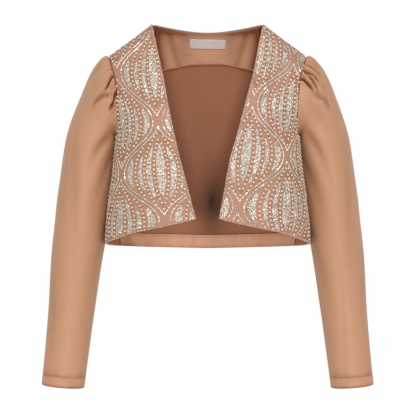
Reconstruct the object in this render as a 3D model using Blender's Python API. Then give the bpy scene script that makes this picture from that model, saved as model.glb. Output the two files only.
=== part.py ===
"""A cropped open-front jacket for a child, filled out and hollow, as its cut and sewn pieces.

Metres, +Z up. The wearer faces -Y and the wearer's left is at +X. The origin lies on top of the
shoulders, midway between the two neck points. Each piece is a closed wall of cloth whose outer
face lies on the garment's form, and neighbours stay a seam's gap apart. Lengths below are in
millimetres, and angles in degrees.
"""

import math
from collections import namedtuple

import bmesh
import bpy
import numpy as np

MM = 0.001

# Cloth walls and the gap at a seam
SATIN_WALL = 2.0
BEADED_WALL = 2.6
CUFF_WALL = 2.4
FACING_WALL = 1.2
LABEL_WALL = 1.0
SEAM_GAP = 0.3
SHOULDER_SEAM_GAP = 0.7
FACING_GAP = 0.7
LABEL_GAP = 0.5

# Torso: a rounded section that closes over the shoulders along a sloping ridge
PLAN_POWER = 2.3
ARMPIT_FULLNESS = 0.3
CHEST_HALF_DEPTH = 92.0
ARMPIT_DROP = 165.0
RIDGE_CORNER = 82.5
SHOULDER_SLOPE = 0.78
SIDE_SEAM_SWING = 29.0

# Neckline at the back, and the strip of back that comes over the shoulder to the front seam
NECK_HALF_WIDTH = 81.0
NECK_BACK_DEPTH = 55.0
STRIP_AT_NECK = 0.128
STRIP_AT_ARMHOLE = 0.03
SEAM_DEPTH_SHARE = 0.8

# Armhole: an upright oval, a little further out at the back than at the front
ARMHOLE_HALF_DEPTH = 50.0
BACK_WIDTH_EASE = 3.0

# Pieces on the inside of the back
FACING_END = 0.27
FACING_CORNER = 0.05
FACING_SHOULDER_DROP = 26.0
FACING_EDGE_INSET = 0.8
HEM_BAND_HEIGHT = 19.0
LABEL_WIDTH = 54.0
LABEL_HEIGHT = 13.0
LABEL_DROP = 13.5
LABEL_TILT = 1.2

# Mesh steps: rows round the armhole are closest where the sleeve head is gathered
LOW_ROWS = 7
ROWS_LEVEL_SHARE = 0.8
ARMHOLE_STEPS = ((0.0, 95.0, 7), (95.0, 160.0, 13), (160.0, 180.0, 2))
FRONT_COLUMNS = 10
SHOULDER_COLUMNS = 6
NECKLINE_STEPS = (0.05, 0.15, 0.32, 0.54, 0.77, 1.0)
FACING_ROWS = 5
HEM_BAND_ROWS = 3
HEM_BAND_COLUMNS = 10
LABEL_COLUMNS = 9
SLOPE_STEP = 1e-4
HALVINGS = 40
EDGE_TRIES = 16
FIRST_EDGE_ANGLE = -75.0
NECKLINE_LOWEST_LEVEL = 0.3
LABEL_FIRST_SHARE = 0.6
SHARP_ANGLE = 50.0

Torso = namedtuple("Torso", "drop half_width half_depth")
TORSO = (
    Torso(165, 131.8, 92.0),
    Torso(180, 133.1, 92.2),
    Torso(217, 136.8, 93.8),
    Torso(253, 142.0, 96.6),
    Torso(290, 145.9, 99.3),
    Torso(325, 147.6, 101.0),
)

# Hem, by the angle round the body from the front centre
Hem = namedtuple("Hem", "angle drop")
HEM = (
    Hem(0, 276.0),
    Hem(11, 284.0),
    Hem(22, 290.3),
    Hem(48, 301.8),
    Hem(60, 308.0),
    Hem(90, 316.0),
    Hem(119, 320.0),
    Hem(180, 324.6),
)

# Distance of each front edge from the centre line, by the height below the neck points
FrontEdge = namedtuple("FrontEdge", "drop wearers_right wearers_left")
FRONT_EDGE = (
    FrontEdge(-2, 81.5, 81.5),
    FrontEdge(39, 72.5, 72.5),
    FrontEdge(78, 63.8, 64.6),
    FrontEdge(111, 57.7, 55.6),
    FrontEdge(156, 48.6, 43.6),
    FrontEdge(199, 38.5, 31.5),
    FrontEdge(240, 27.7, 24.1),
    FrontEdge(280, 17.2, 16.6),
)

# Distance of the armhole from the centre line, by the angle up from the armpit
Armhole = namedtuple("Armhole", "angle half_width")
ARMHOLE = (
    Armhole(0, 131.8),
    Armhole(30, 129.2),
    Armhole(60, 127.8),
    Armhole(90, 128.6),
    Armhole(112, 131.8),
    Armhole(135, 137.2),
    Armhole(180, 142.0),
)

# Lower edge of the neck facing, by the distance from the centre line
FacingEdge = namedtuple("FacingEdge", "across drop")
FACING_EDGE = (
    FacingEdge(0, 49.5),
    FacingEdge(25, 50.2),
    FacingEdge(60, 57.0),
    FacingEdge(115, 66.0),
)

# Sleeve rings from the armhole to the cuff: where each meets the outer and the inner outline
Ring = namedtuple("Ring", "outer_x outer_drop inner_x inner_drop centre_y half_depth")
SLEEVE = (
    Ring(142.0, 46.0, 131.8, 164.7, 0.0, 50.0),
    Ring(147.8, 44.4, 132.1, 161.8, 1.0, 51.5),
    Ring(154.4, 48.0, 133.3, 160.0, 3.0, 53.0),
    Ring(162.3, 56.6, 134.8, 160.8, 6.0, 54.5),
    Ring(170.1, 68.6, 134.7, 165.0, 10.0, 55.5),
    Ring(177.8, 85.0, 133.8, 171.5, 14.0, 56.0),
    Ring(185.3, 103.0, 133.4, 179.5, 18.0, 56.0),
    Ring(193.3, 122.0, 133.6, 188.0, 20.0, 55.5),
    Ring(200.8, 142.0, 134.4, 198.0, 22.0, 55.0),
    Ring(207.0, 164.0, 135.4, 209.0, 23.0, 54.0),
    Ring(211.4, 190.0, 137.0, 223.0, 24.0, 53.0),
    Ring(215.5, 220.0, 139.6, 242.0, 24.0, 52.0),
    Ring(220.1, 252.0, 142.6, 264.0, 24.0, 50.5),
    Ring(223.4, 286.0, 145.8, 290.0, 23.0, 48.5),
    Ring(227.1, 322.0, 151.0, 321.0, 20.0, 46.0),
    Ring(229.3, 360.0, 156.5, 358.0, 15.0, 42.5),
    Ring(230.5, 398.0, 162.0, 399.0, 8.0, 39.0),
    Ring(232.6, 436.0, 167.2, 438.0, 0.0, 36.0),
    Ring(235.3, 474.0, 172.0, 477.0, -7.0, 33.0),
    Ring(237.9, 504.3, 176.0, 508.8, -12.0, 31.0),
)
CUFF = (
    Ring(237.9, 504.6, 176.0, 509.1, -12.0, 31.0),
    Ring(238.6, 511.0, 176.8, 515.6, -13.0, 30.8),
    Ring(239.2, 518.0, 177.5, 523.2, -14.0, 30.8),
)
HEAD_RINGS = 8

# Gathers of each sleeve head: the angle round the ring from the top, to the front if positive
Fold = namedtuple("Fold", "angle drift depth width start reach")
GATHERS = {
    "left": (
        Fold(36, 1.0, 2.2, 4.5, 1, 5),
        Fold(45, 2.0, 2.8, 4.5, 1, 6),
        Fold(55, 3.0, 3.6, 5.0, 1, 6),
        Fold(67, 3.5, 4.4, 5.5, 1, 6),
        Fold(-34, -1.0, 2.4, 5.0, 1, 5),
        Fold(-46, -2.0, 3.2, 5.0, 1, 6),
        Fold(-60, -3.0, 3.8, 6.0, 1, 6),
        Fold(-74, -3.0, 3.0, 6.0, 1, 5),
    ),
    "right": (
        Fold(30, 0.5, 1.6, 4.5, 1, 4),
        Fold(64, 5.0, 4.2, 5.5, 1, 5),
        Fold(83, 6.0, 4.6, 6.0, 1, 6),
        Fold(-36, -1.0, 2.4, 5.0, 1, 5),
        Fold(-50, -2.0, 3.4, 5.5, 1, 6),
        Fold(-66, -3.0, 3.6, 6.0, 1, 6),
    ),
}
RIDGE_SHARE = 0.45

# Finish of each kind of cloth: colour, roughness, metallic
SATIN = ("satin", (0.55, 0.27, 0.16), 0.42, 0.0)
BEADED = ("beaded_cloth", (0.52, 0.38, 0.28), 0.55, 0.1)
FACING = ("facing_satin", (0.50, 0.24, 0.13), 0.38, 0.0)
WOVEN_LABEL = ("woven_label", (0.66, 0.60, 0.56), 0.7, 0.0)


def smooth(table, column, at):
    """A named column of a table at a place along its first column, with no overshoot."""
    places = np.array([row[0] for row in table], float)
    values = np.array([getattr(row, column) for row in table], float)
    at = min(max(at, places[0]), places[-1])
    steps = np.diff(places)
    slopes = np.diff(values) / steps
    tangents = np.concatenate([slopes[:1], (slopes[:-1] + slopes[1:]) / 2, slopes[-1:]])
    turning = slopes[:-1] * slopes[1:] <= 0
    tangents[1:-1][turning] = 0
    index = min(int(np.searchsorted(places, at, "right")) - 1, len(steps) - 1)
    share = (at - places[index]) / steps[index]
    rise = values[index + 1] - values[index]
    first = tangents[index] * steps[index]
    last = tangents[index + 1] * steps[index]
    eased = share * share * (3 - 2 * share) * rise
    leaving = share * (1 - share) ** 2 * first
    arriving = share * share * (share - 1) * last
    return values[index] + eased + leaving + arriving


def plan_power(level):
    """Power of the section at a level, fullest at the armpit."""
    nearness = max(0.0, 1 - abs(level))
    return PLAN_POWER + ARMPIT_FULLNESS * math.sin(math.pi / 2 * nearness) ** 2


def rounded(angle, level):
    """Cosine and sine raised to the plan's power: a section between an ellipse and a box."""
    across, along = math.cos(angle), math.sin(angle)
    power = 2 / plan_power(level)
    return math.copysign(abs(across) ** power, across), math.copysign(abs(along) ** power, along)


def ridge_height(x):
    """Height of the shoulder ridge, with a smooth crown over the neck that the neckline cuts off."""
    x = abs(x)
    if x > RIDGE_CORNER:
        return -SHOULDER_SLOPE * (x - RIDGE_CORNER)
    crown = SHOULDER_SLOPE * RIDGE_CORNER / 2
    return crown * (1 - (x / RIDGE_CORNER) ** 2)


def armhole_angle(level):
    """How far round the section the armhole lies at a level, from the side."""
    turn = math.cos(math.pi * level)
    share = ARMHOLE_HALF_DEPTH / CHEST_HALF_DEPTH * 2 * math.sqrt((1 - turn) / (3 - turn))
    return math.asin(min(1.0, share ** (plan_power(level) / 2)))


def half_width_above(level, behind):
    """Half width of the section above the armpit, so that the armhole comes where it should."""
    ease = BACK_WIDTH_EASE * math.sin(math.pi * level) ** 2 if behind else 0.0
    width = smooth(ARMHOLE, "half_width", math.degrees(math.pi * level)) + ease
    return width / rounded(armhole_angle(level), level)[0]


def torso_point(side, angle, level):
    """A point of the garment's form.

    The angle runs round the section from the front centre (-90) by the side (0) to the back
    centre (90). The level runs from the hem (-1) by the armpit (0) to the shoulder ridge (1)
    and over it.
    """
    if level > 1:
        return torso_point(side, -angle, 2 - level)
    across, along = rounded(angle, level)
    if level < 0:
        hem = smooth(HEM, "drop", 90 + math.degrees(angle))
        drop = ARMPIT_DROP - level * (hem - ARMPIT_DROP)
        half_width = smooth(TORSO, "half_width", drop)
        half_depth = smooth(TORSO, "half_depth", drop)
        return np.array([side * half_width * across, half_depth * along, -drop])
    rise = (1 - math.cos(math.pi * level)) / 2
    half_depth = CHEST_HALF_DEPTH * math.sqrt(max(0.0, 1 - rise * rise))
    x = half_width_above(level, angle > 0) * across
    z = rise * (ridge_height(x) + ARMPIT_DROP) - ARMPIT_DROP
    return np.array([side * x, half_depth * along, z])


def unit(vector):
    return vector / np.linalg.norm(vector)


def torso_frame(side, angle, level):
    """Unit directions at a point of the form: round the body to the back, and outwards."""
    ahead = torso_point(side, angle + SLOPE_STEP, level)
    behind = torso_point(side, angle - SLOPE_STEP, level)
    above = torso_point(side, angle, level + SLOPE_STEP)
    below = torso_point(side, angle, level - SLOPE_STEP)
    around = unit(ahead - behind)
    outwards = side * np.cross(around, above - below)
    return around, unit(outwards)


def armhole_levels():
    """Levels of the rows round the armhole, from the armpit to the shoulder."""
    levels = [0.0]
    for start, end, count in ARMHOLE_STEPS:
        levels += list(np.linspace(start, end, count + 1)[1:] / 180)
    return levels


def row_levels(top, full_top):
    """Levels from the hem to a piece's top: level with the armhole's rows, then drawn together."""
    low = list(np.linspace(-1, 0, LOW_ROWS + 1)[:-1])
    high = [level * full_top for level in armhole_levels()]
    knee = min(full_top, ROWS_LEVEL_SHARE * top)
    squeeze = (top - knee) / (full_top - knee) if top < full_top else 1.0
    return low + [level if level < knee else knee + (level - knee) * squeeze for level in high]


def strip_width(share):
    """Level past the ridge where the shoulder seam lies, from the armhole (0) to the neck (1)."""
    return STRIP_AT_ARMHOLE + (STRIP_AT_NECK - STRIP_AT_ARMHOLE) * share


def side_angle(level):
    """Where the back panel starts at a level: the side seam below the armpit, then the armhole."""
    if level < 0:
        return math.radians(SIDE_SEAM_SWING) * -level
    if level > 1:
        return armhole_angle(2 - level)
    return armhole_angle(level)


def back_angle(share, level):
    """Angle of a column of the back, from its side edge (0) to the centre (1)."""
    start = side_angle(level)
    return start + share * (math.pi / 2 - start)


def neck_share():
    """Column of the back that reaches the ridge at the neck point."""
    half_width = half_width_above(1.0, True)
    angle = math.acos((NECK_HALF_WIDTH / half_width) ** (plan_power(1.0) / 2))
    start = armhole_angle(1.0)
    return (angle - start) / (math.pi / 2 - start)


def neckline_level(share):
    """Level at which a column of the back meets the neckline, an oval in plan."""
    low, high = NECKLINE_LOWEST_LEVEL, 1.0
    for _ in range(HALVINGS):
        level = (low + high) / 2
        x, y, _ = torso_point(1, back_angle(share, level), level)
        reach = NECK_BACK_DEPTH * math.sqrt(max(0.0, 1 - (x / NECK_HALF_WIDTH) ** 2))
        if y > reach:
            low = level
        else:
            high = level
    return low


def drop_level(share, drop):
    """Level at which a column of the back lies a given height below the neck points."""
    low, high = -1.0, 1.0
    for _ in range(HALVINGS):
        level = (low + high) / 2
        if torso_point(1, back_angle(share, level), level)[2] < -drop:
            low = level
        else:
            high = level
    return low


def front_edge_angle(side, level):
    """Angle at which a front's free edge lies at a level."""
    column = "wearers_left" if side > 0 else "wearers_right"
    angle = math.radians(FIRST_EDGE_ANGLE)
    for _ in range(EDGE_TRIES):
        x, _, z = torso_point(1, angle, level)
        half_width = x / rounded(angle, level)[0]
        edge = smooth(FRONT_EDGE, column, -z)
        angle = -math.acos(min(1.0, (edge / half_width) ** (plan_power(level) / 2)))
    return angle


def finish_material(finish):
    name, colour, roughness, metallic = finish
    material = bpy.data.materials.get(name) or bpy.data.materials.new(name)
    material.use_nodes = True
    shader = material.node_tree.nodes["Principled BSDF"]
    shader.inputs["Base Color"].default_value = (*colour, 1)
    shader.inputs["Roughness"].default_value = roughness
    shader.inputs["Metallic"].default_value = metallic
    return material


def add_wall(name, outer, inner, finish, round_piece=False):
    """A closed wall between two grids of points, rows by columns, round if the columns join up."""
    shape = bmesh.new()
    faces = [[[shape.verts.new(p * MM) for p in row] for row in grid] for grid in (outer, inner)]
    rows, columns = len(outer), len(outer[0])
    spans = [(c, (c + 1) % columns) for c in range(columns if round_piece else columns - 1)]
    for row in range(rows - 1):
        for near, far in spans:
            for layer, turn in ((faces[0], 1), (faces[1], -1)):
                corners = (layer[row][near], layer[row][far], layer[row + 1][far], layer[row + 1][near])
                shape.faces.new(corners[::turn])
    for near, far in spans:
        for row, turn in ((0, 1), (rows - 1, -1)):
            corners = (faces[1][row][near], faces[1][row][far], faces[0][row][far], faces[0][row][near])
            shape.faces.new(corners[::turn])
    if not round_piece:
        for row in range(rows - 1):
            for column, turn in ((0, 1), (columns - 1, -1)):
                lower, upper = faces[0][row][column], faces[0][row + 1][column]
                corners = (lower, upper, faces[1][row + 1][column], faces[1][row][column])
                shape.faces.new(corners[::turn])
    bmesh.ops.recalc_face_normals(shape, faces=shape.faces)
    bmesh.ops.triangulate(shape, faces=shape.faces)
    mesh = bpy.data.meshes.new(name)
    shape.to_mesh(mesh)
    shape.free()
    mesh.materials.append(finish_material(finish))
    mesh.shade_smooth()
    mesh.set_sharp_from_angle(angle=math.radians(SHARP_ANGLE))
    piece = bpy.data.objects.new(name, mesh)
    bpy.context.scene.collection.objects.link(piece)
    return piece


def torso_wall(name, grid, depth_out, depth_in, finish):
    """A wall on the form between two depths, from a grid of (side, angle, level, sideways shift)."""
    outer, inner = [], []
    for row in grid:
        outer_row, inner_row = [], []
        for side, angle, level, shift in row:
            around, outwards = torso_frame(side, angle, level)
            point = torso_point(side, angle, level) + around * shift
            outer_row.append(point - outwards * depth_out)
            inner_row.append(point - outwards * depth_in)
        outer.append(outer_row)
        inner.append(inner_row)
    return add_wall(name, outer, inner, finish)


def back_shares():
    """Columns across half of the back, from the side to the centre, closest at the neck point."""
    neck = neck_share()
    shoulder = list(np.linspace(0, neck, SHOULDER_COLUMNS + 1))
    return shoulder + [neck + (1 - neck) * step for step in NECKLINE_STEPS]


def back_columns(shares):
    """Columns right across the back, from the wearer's right to the left."""
    return [(-1, share) for share in shares[:-1]] + [(1, share) for share in shares[::-1]]


def back_top(share):
    """Level of the back's upper end: the neckline, or the shoulder seam past the ridge."""
    neck = neck_share()
    if share > neck + 1e-6:
        return neckline_level(share)
    return 1 + strip_width(share / neck)


def add_back():
    columns = []
    for side, share in back_columns(back_shares()):
        shift = SEAM_GAP / 2 if share == 0 else 0.0
        levels = row_levels(back_top(share), back_top(min(share, neck_share())))
        shifts = [shift if level <= 0 else 0.0 for level in levels]
        columns.append(
            [(side, back_angle(share, level), level, move) for level, move in zip(levels, shifts)]
        )
    torso_wall("back", list(zip(*columns)), 0.0, SATIN_WALL, SATIN)


def front_top(share):
    """Level of a front's upper end: the shoulder seam, a gap below the back's strip."""
    depth = CHEST_HALF_DEPTH * math.pi / math.sqrt(2)
    return 1 - strip_width(1 - share) - SHOULDER_SEAM_GAP / (depth * SEAM_DEPTH_SHARE)


def add_front(name, side):
    columns = []
    for share in np.linspace(0, 1, FRONT_COLUMNS + 1):
        column = []
        for level in row_levels(front_top(share), front_top(share)):
            edge = front_edge_angle(side, level)
            end = side_angle(level) if level < 0 else -armhole_angle(level)
            shift = -SEAM_GAP / 2 if share == 1 and level <= 0 else 0.0
            column.append((side, edge + share * (end - edge), level, shift))
        columns.append(column)
    if side > 0:
        columns.reverse()
    torso_wall(name, list(zip(*columns)), 0.0, BEADED_WALL, BEADED)


def armhole_ring(side):
    """Points, outward normals and ring angles round an armhole, from the shoulder down the front."""
    levels = armhole_levels()
    back_end = 1 + strip_width(0)
    front_end = front_top(1)
    stops = [(1, levels[-1] * back_end)]
    stops += [(-1, level * front_end) for level in levels[-2::-1]]
    stops += [(1, level * back_end) for level in levels[1:-1]]
    points, normals, turns = [], [], []
    for face, level in stops:
        angle = side_angle(level) * face
        points.append(torso_point(side, angle, level))
        normals.append(torso_frame(side, angle, level)[1])
        turns.append(math.pi * (1 - level) if face < 0 else math.pi * (1 + level))
    return np.array(points), np.array(normals), np.array(turns)


def ring_points(side, ring, turns):
    """Points round one sleeve ring, at angles from its outer end round by the front."""
    outer = np.array([ring.outer_x, ring.centre_y, -ring.outer_drop])
    inner = np.array([ring.inner_x, ring.centre_y, -ring.inner_drop])
    centre, reach = (outer + inner) / 2, (outer - inner) / 2
    forward = np.array([0.0, -ring.half_depth, 0.0])
    points = centre + np.outer(np.cos(turns), reach) + np.outer(np.sin(turns), forward)
    points[:, 0] *= side
    return points


def gather_depth(fold, station, turn):
    """How far one gather lies below the sleeve head at a ring and an angle, ridges below zero."""
    if not 0 < station < fold.reach:
        return 0.0
    rise = min(1.0, station / fold.start)
    fade = math.cos(math.pi / 2 * (station / fold.reach) ** 1.5)
    away = math.degrees(turn) - (fold.angle + fold.drift * station)
    away = (away + 180) % 360 - 180
    trough = math.exp(-((away / fold.width) ** 2))
    ridge = math.exp(-(((abs(away) - 2 * fold.width) / fold.width) ** 2))
    return fold.depth * rise * fade * (trough - RIDGE_SHARE * ridge)


def inwards(grid, first, depth):
    """The grid moved a wall's depth into the sleeve, its first ring along the body's own normals."""
    grid = np.array(grid)
    around = np.roll(grid, -1, axis=1) - np.roll(grid, 1, axis=1)
    down = np.gradient(grid, axis=0)
    normals = np.cross(around, down)
    normals /= np.linalg.norm(normals, axis=2, keepdims=True)
    centres = grid.mean(axis=1, keepdims=True)
    if np.sum(normals * (grid - centres)) < 0:
        normals = -normals
    if first is not None:
        normals[0] = first
        normals[1] = normals[1] + first
        normals[1] /= np.linalg.norm(normals[1], axis=1, keepdims=True)
    return grid - normals * depth


def sleeve_grid(side, name):
    """Outer points of a sleeve, ring by ring, with the body's normals at the armhole."""
    points, normals, turns = armhole_ring(side)
    tangents = np.roll(points, -1, axis=0) - np.roll(points, 1, axis=0)
    away = np.cross(tangents, normals)
    away /= np.linalg.norm(away, axis=1, keepdims=True)
    lowest = int(np.argmin(points[:, 2]))
    if away[lowest][2] < 0:
        away = -away
    seam = points + away * SEAM_GAP
    offset = seam - ring_points(side, SLEEVE[0], turns)
    grid = []
    for station, ring in enumerate(SLEEVE):
        share = min(1.0, station / HEAD_RINGS)
        blend = share * share * (3 - 2 * share)
        row = ring_points(side, ring, turns) + offset * (1 - blend)
        centre = row.mean(axis=0)
        for index, turn in enumerate(turns):
            sunk = sum(gather_depth(fold, station, turn) for fold in GATHERS[name])
            row[index] -= unit(row[index] - centre) * sunk
        grid.append(row)
    return grid, normals, turns


def add_sleeve(name, side):
    grid, normals, turns = sleeve_grid(side, name)
    add_wall(f"sleeve_{name}", grid, inwards(grid, normals, SATIN_WALL), SATIN, True)
    cuff = [ring_points(side, ring, turns) for ring in CUFF]
    add_wall(f"cuff_{name}", cuff, inwards(cuff, None, CUFF_WALL), SATIN, True)


def facing_depths():
    """Depth below the back's outer face at which a facing's wall starts and ends."""
    start = SATIN_WALL + FACING_GAP
    return start, start + FACING_WALL


def add_neck_facing():
    corner = neck_share()
    shares = [share for share in back_shares() if share > FACING_END]
    shares = [share for share in shares if not corner < share < corner + FACING_CORNER]
    columns = []
    for side, share in back_columns([FACING_END] + shares):
        top = min(back_top(share), 1.0)
        x, _, z = torso_point(1, back_angle(share, top), top)
        low = drop_level(share, smooth(FACING_EDGE, "drop", x))
        top_drop = FACING_SHOULDER_DROP if share <= corner else -z + FACING_EDGE_INSET
        high = drop_level(share, top_drop)
        levels = np.linspace(low, high, FACING_ROWS)
        columns.append([(side, back_angle(share, h), h, 0.0) for h in levels])
    torso_wall("neck_facing", list(zip(*columns)), *facing_depths(), FACING)


def add_hem_band():
    shares = np.linspace(0, 1, HEM_BAND_COLUMNS + 1)
    columns = []
    for side, share in back_columns(list(shares)):
        hem = smooth(HEM, "drop", 90 + math.degrees(back_angle(share, -1)))
        top = HEM_BAND_HEIGHT / (hem - ARMPIT_DROP) - 1
        shift = 2 * SEAM_GAP if share == 0 else 0.0
        levels = np.linspace(-1, top, HEM_BAND_ROWS)
        columns.append([(side, back_angle(share, h), h, shift) for h in levels])
    torso_wall("back_hem_band", list(zip(*columns)), *facing_depths(), FACING)


def add_label():
    """A plain woven label on the neck facing, a little off level."""
    start = facing_depths()[1] + LABEL_GAP
    tilt = math.tan(math.radians(LABEL_TILT))
    columns = []
    for across in np.linspace(-LABEL_WIDTH / 2, LABEL_WIDTH / 2, LABEL_COLUMNS):
        column = []
        for down in (LABEL_HEIGHT, LABEL_HEIGHT / 2, 0.0):
            drop = LABEL_DROP + down + tilt * across
            low, high = LABEL_FIRST_SHARE, 1.0
            for _ in range(HALVINGS):
                share = (low + high) / 2
                level = drop_level(share, drop)
                if torso_point(1, back_angle(share, level), level)[0] > abs(across):
                    low = share
                else:
                    high = share
            column.append((1 if across >= 0 else -1, back_angle(share, level), level, 0.0))
        columns.append(column)
    torso_wall("label", list(zip(*columns)), start, start + LABEL_WALL, WOVEN_LABEL)


def main():
    for thing in list(bpy.data.objects):
        bpy.data.objects.remove(thing, do_unlink=True)
    add_back()
    for name, side in (("left", 1), ("right", -1)):
        add_front(f"front_{name}", side)
        add_sleeve(name, side)
    add_neck_facing()
    add_hem_band()
    add_label()


main()
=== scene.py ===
"""A child's cropped jacket of rose-brown satin with beaded fronts, filled out and hollow.

Every cloth piece is a thin wall on the jacket's form, which the tables below give in millimetres
and degrees. The wearer faces -Y and the wearer's left is at +X.
"""

import math
from collections import namedtuple
from contextlib import contextmanager

import bpy
import numpy as np
from bpy.props import FloatProperty, FloatVectorProperty, IntProperty, PointerProperty
from bpy.types import NodeSocket, Operator, Panel, PropertyGroup
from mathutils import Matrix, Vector


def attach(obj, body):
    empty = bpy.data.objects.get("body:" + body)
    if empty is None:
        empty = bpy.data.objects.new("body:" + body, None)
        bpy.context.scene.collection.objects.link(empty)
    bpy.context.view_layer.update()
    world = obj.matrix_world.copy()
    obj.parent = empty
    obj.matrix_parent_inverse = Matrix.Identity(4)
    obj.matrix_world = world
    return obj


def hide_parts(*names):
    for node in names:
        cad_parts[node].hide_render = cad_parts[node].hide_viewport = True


bl_info = {
    "name": "Beaded Cropped Jacket",
    "version": (1, 0, 0),
    "blender": (4, 5, 0),
    "location": "3D View > Sidebar > Jacket",
    "description": "Sews the panels, beadwork and trims of a cropped jacket",
    "category": "Add Mesh",
}

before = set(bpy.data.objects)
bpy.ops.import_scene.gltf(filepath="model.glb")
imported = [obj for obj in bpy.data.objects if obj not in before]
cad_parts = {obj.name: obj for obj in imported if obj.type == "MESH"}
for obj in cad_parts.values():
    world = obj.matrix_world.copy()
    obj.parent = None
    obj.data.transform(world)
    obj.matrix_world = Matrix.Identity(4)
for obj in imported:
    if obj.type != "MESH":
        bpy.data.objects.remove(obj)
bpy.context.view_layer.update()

MM = 0.001
SIDES = {"left": 1, "right": -1}

# Cloth walls and the gaps between the pieces
SATIN_WALL = 2.0
BEADED_WALL = 2.6
CUFF_WALL = 2.4
FACING_WALL = 1.2
LABEL_WALL = 1.0
WALL_EDGE_BULGE = 0.45
SEAM_GAP = 0.3
SHOULDER_SEAM_GAP = 0.7
FACING_GAP = 0.7
LABEL_GAP = 0.5

# The jacket's form
PLAN_POWER = 2.3
ARMPIT_FULLNESS = 0.3
CHEST_HALF_DEPTH = 92.0
SHOULDER_RUN = CHEST_HALF_DEPTH * math.pi / math.sqrt(2)
ARMPIT_DROP = 165.0
RIDGE_CORNER = 82.5
SHOULDER_SLOPE = 0.78
SIDE_SEAM_SWING = 29.0
NECK_HALF_WIDTH = 81.0
NECK_BACK_DEPTH = 55.0
STRIP_AT_NECK = 0.128
STRIP_AT_ARMHOLE = 0.03
SEAM_DEPTH_SHARE = 0.8
ARMHOLE_HALF_DEPTH = 50.0
BACK_WIDTH_EASE = 3.0
FACING_END = 0.27
FACING_SHOULDER_DROP = 26.0
FACING_EDGE_INSET = 0.8
HEM_BAND_HEIGHT = 19.0
LABEL_WIDTH = 54.0
LABEL_HEIGHT = 13.0
LABEL_DROP = 13.5
LABEL_TILT = 1.2
ROWS_LEVEL_SHARE = 0.8
SLOPE_STEP = 1e-4
NECK_ROLL = 4.4
SHOULDER_ROLL = 4.0
ROLL_PITCH = 900.0
BINDING_WIDTH = 3.3
BINDING_PITCH = 400.0


def table(columns, *rows):
    """Rows of values with named columns."""
    row = namedtuple("Row", columns)
    return [row(*values) for values in rows]


TORSO = table(
    "drop half_width half_depth",
    (165, 131.8, 92.0),
    (180, 133.1, 92.2),
    (217, 136.8, 93.8),
    (253, 142.0, 96.6),
    (290, 145.9, 99.3),
    (325, 147.6, 101.0),
)
HEM = table(
    "angle drop",
    (0, 276.0),
    (11, 284.0),
    (22, 290.3),
    (48, 301.8),
    (60, 308.0),
    (90, 316.0),
    (119, 320.0),
    (180, 324.6),
)
FRONT_EDGE = table(
    "drop wearers_right wearers_left",
    (-2, 81.5, 81.5),
    (39, 72.5, 72.5),
    (78, 63.8, 64.6),
    (111, 57.7, 55.6),
    (156, 48.6, 43.6),
    (199, 38.5, 31.5),
    (240, 27.7, 24.1),
    (280, 17.2, 16.6),
)
ARMHOLE = table(
    "angle half_width",
    (0, 131.8),
    (30, 129.2),
    (60, 127.8),
    (90, 128.6),
    (112, 131.8),
    (135, 137.2),
    (180, 142.0),
)
FACING_EDGE = table("across drop", (0, 49.5), (25, 50.2), (60, 57.0), (115, 66.0))

RING_COLUMNS = "outer_x outer_drop inner_x inner_drop centre_y half_depth"
SLEEVE = table(
    RING_COLUMNS,
    (142.0, 46.0, 131.8, 164.7, 0.0, 50.0),
    (147.8, 44.4, 132.1, 161.8, 1.0, 51.5),
    (154.4, 48.0, 133.3, 160.0, 3.0, 53.0),
    (162.3, 56.6, 134.8, 160.8, 6.0, 54.5),
    (170.1, 68.6, 134.7, 165.0, 10.0, 55.5),
    (177.8, 85.0, 133.8, 171.5, 14.0, 56.0),
    (185.3, 103.0, 133.4, 179.5, 18.0, 56.0),
    (193.3, 122.0, 133.6, 188.0, 20.0, 55.5),
    (200.8, 142.0, 134.4, 198.0, 22.0, 55.0),
    (207.0, 164.0, 135.4, 209.0, 23.0, 54.0),
    (211.4, 190.0, 137.0, 223.0, 24.0, 53.0),
    (215.5, 220.0, 139.6, 242.0, 24.0, 52.0),
    (220.1, 252.0, 142.6, 264.0, 24.0, 50.5),
    (223.4, 286.0, 145.8, 290.0, 23.0, 48.5),
    (227.1, 322.0, 151.0, 321.0, 20.0, 46.0),
    (229.3, 360.0, 156.5, 358.0, 15.0, 42.5),
    (230.5, 398.0, 162.0, 399.0, 8.0, 39.0),
    (232.6, 436.0, 167.2, 438.0, 0.0, 36.0),
    (235.3, 474.0, 172.0, 477.0, -7.0, 33.0),
    (237.9, 504.3, 176.0, 508.8, -12.0, 31.0),
)
CUFF = table(
    RING_COLUMNS,
    (237.9, 504.6, 176.0, 509.1, -12.0, 31.0),
    (238.6, 511.0, 176.8, 515.6, -13.0, 30.8),
    (239.2, 518.0, 177.5, 523.2, -14.0, 30.8),
)
HEAD_RINGS = 8
SEAM_HOLD = 0.35
SEAM_SINK = 1.4
# Painted shade along the armhole seam, and the fold depth that takes the full painted shade
SEAM_SHADE = 1.2
FOLD_DEEP = 5.0

# Height of the ridges beside a trough in the cloth, as a share of its depth
GATHER_RIDGES = 0.45
CREASE_RIDGES = 0.3
DRAG_RIDGES = 0.35

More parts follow.
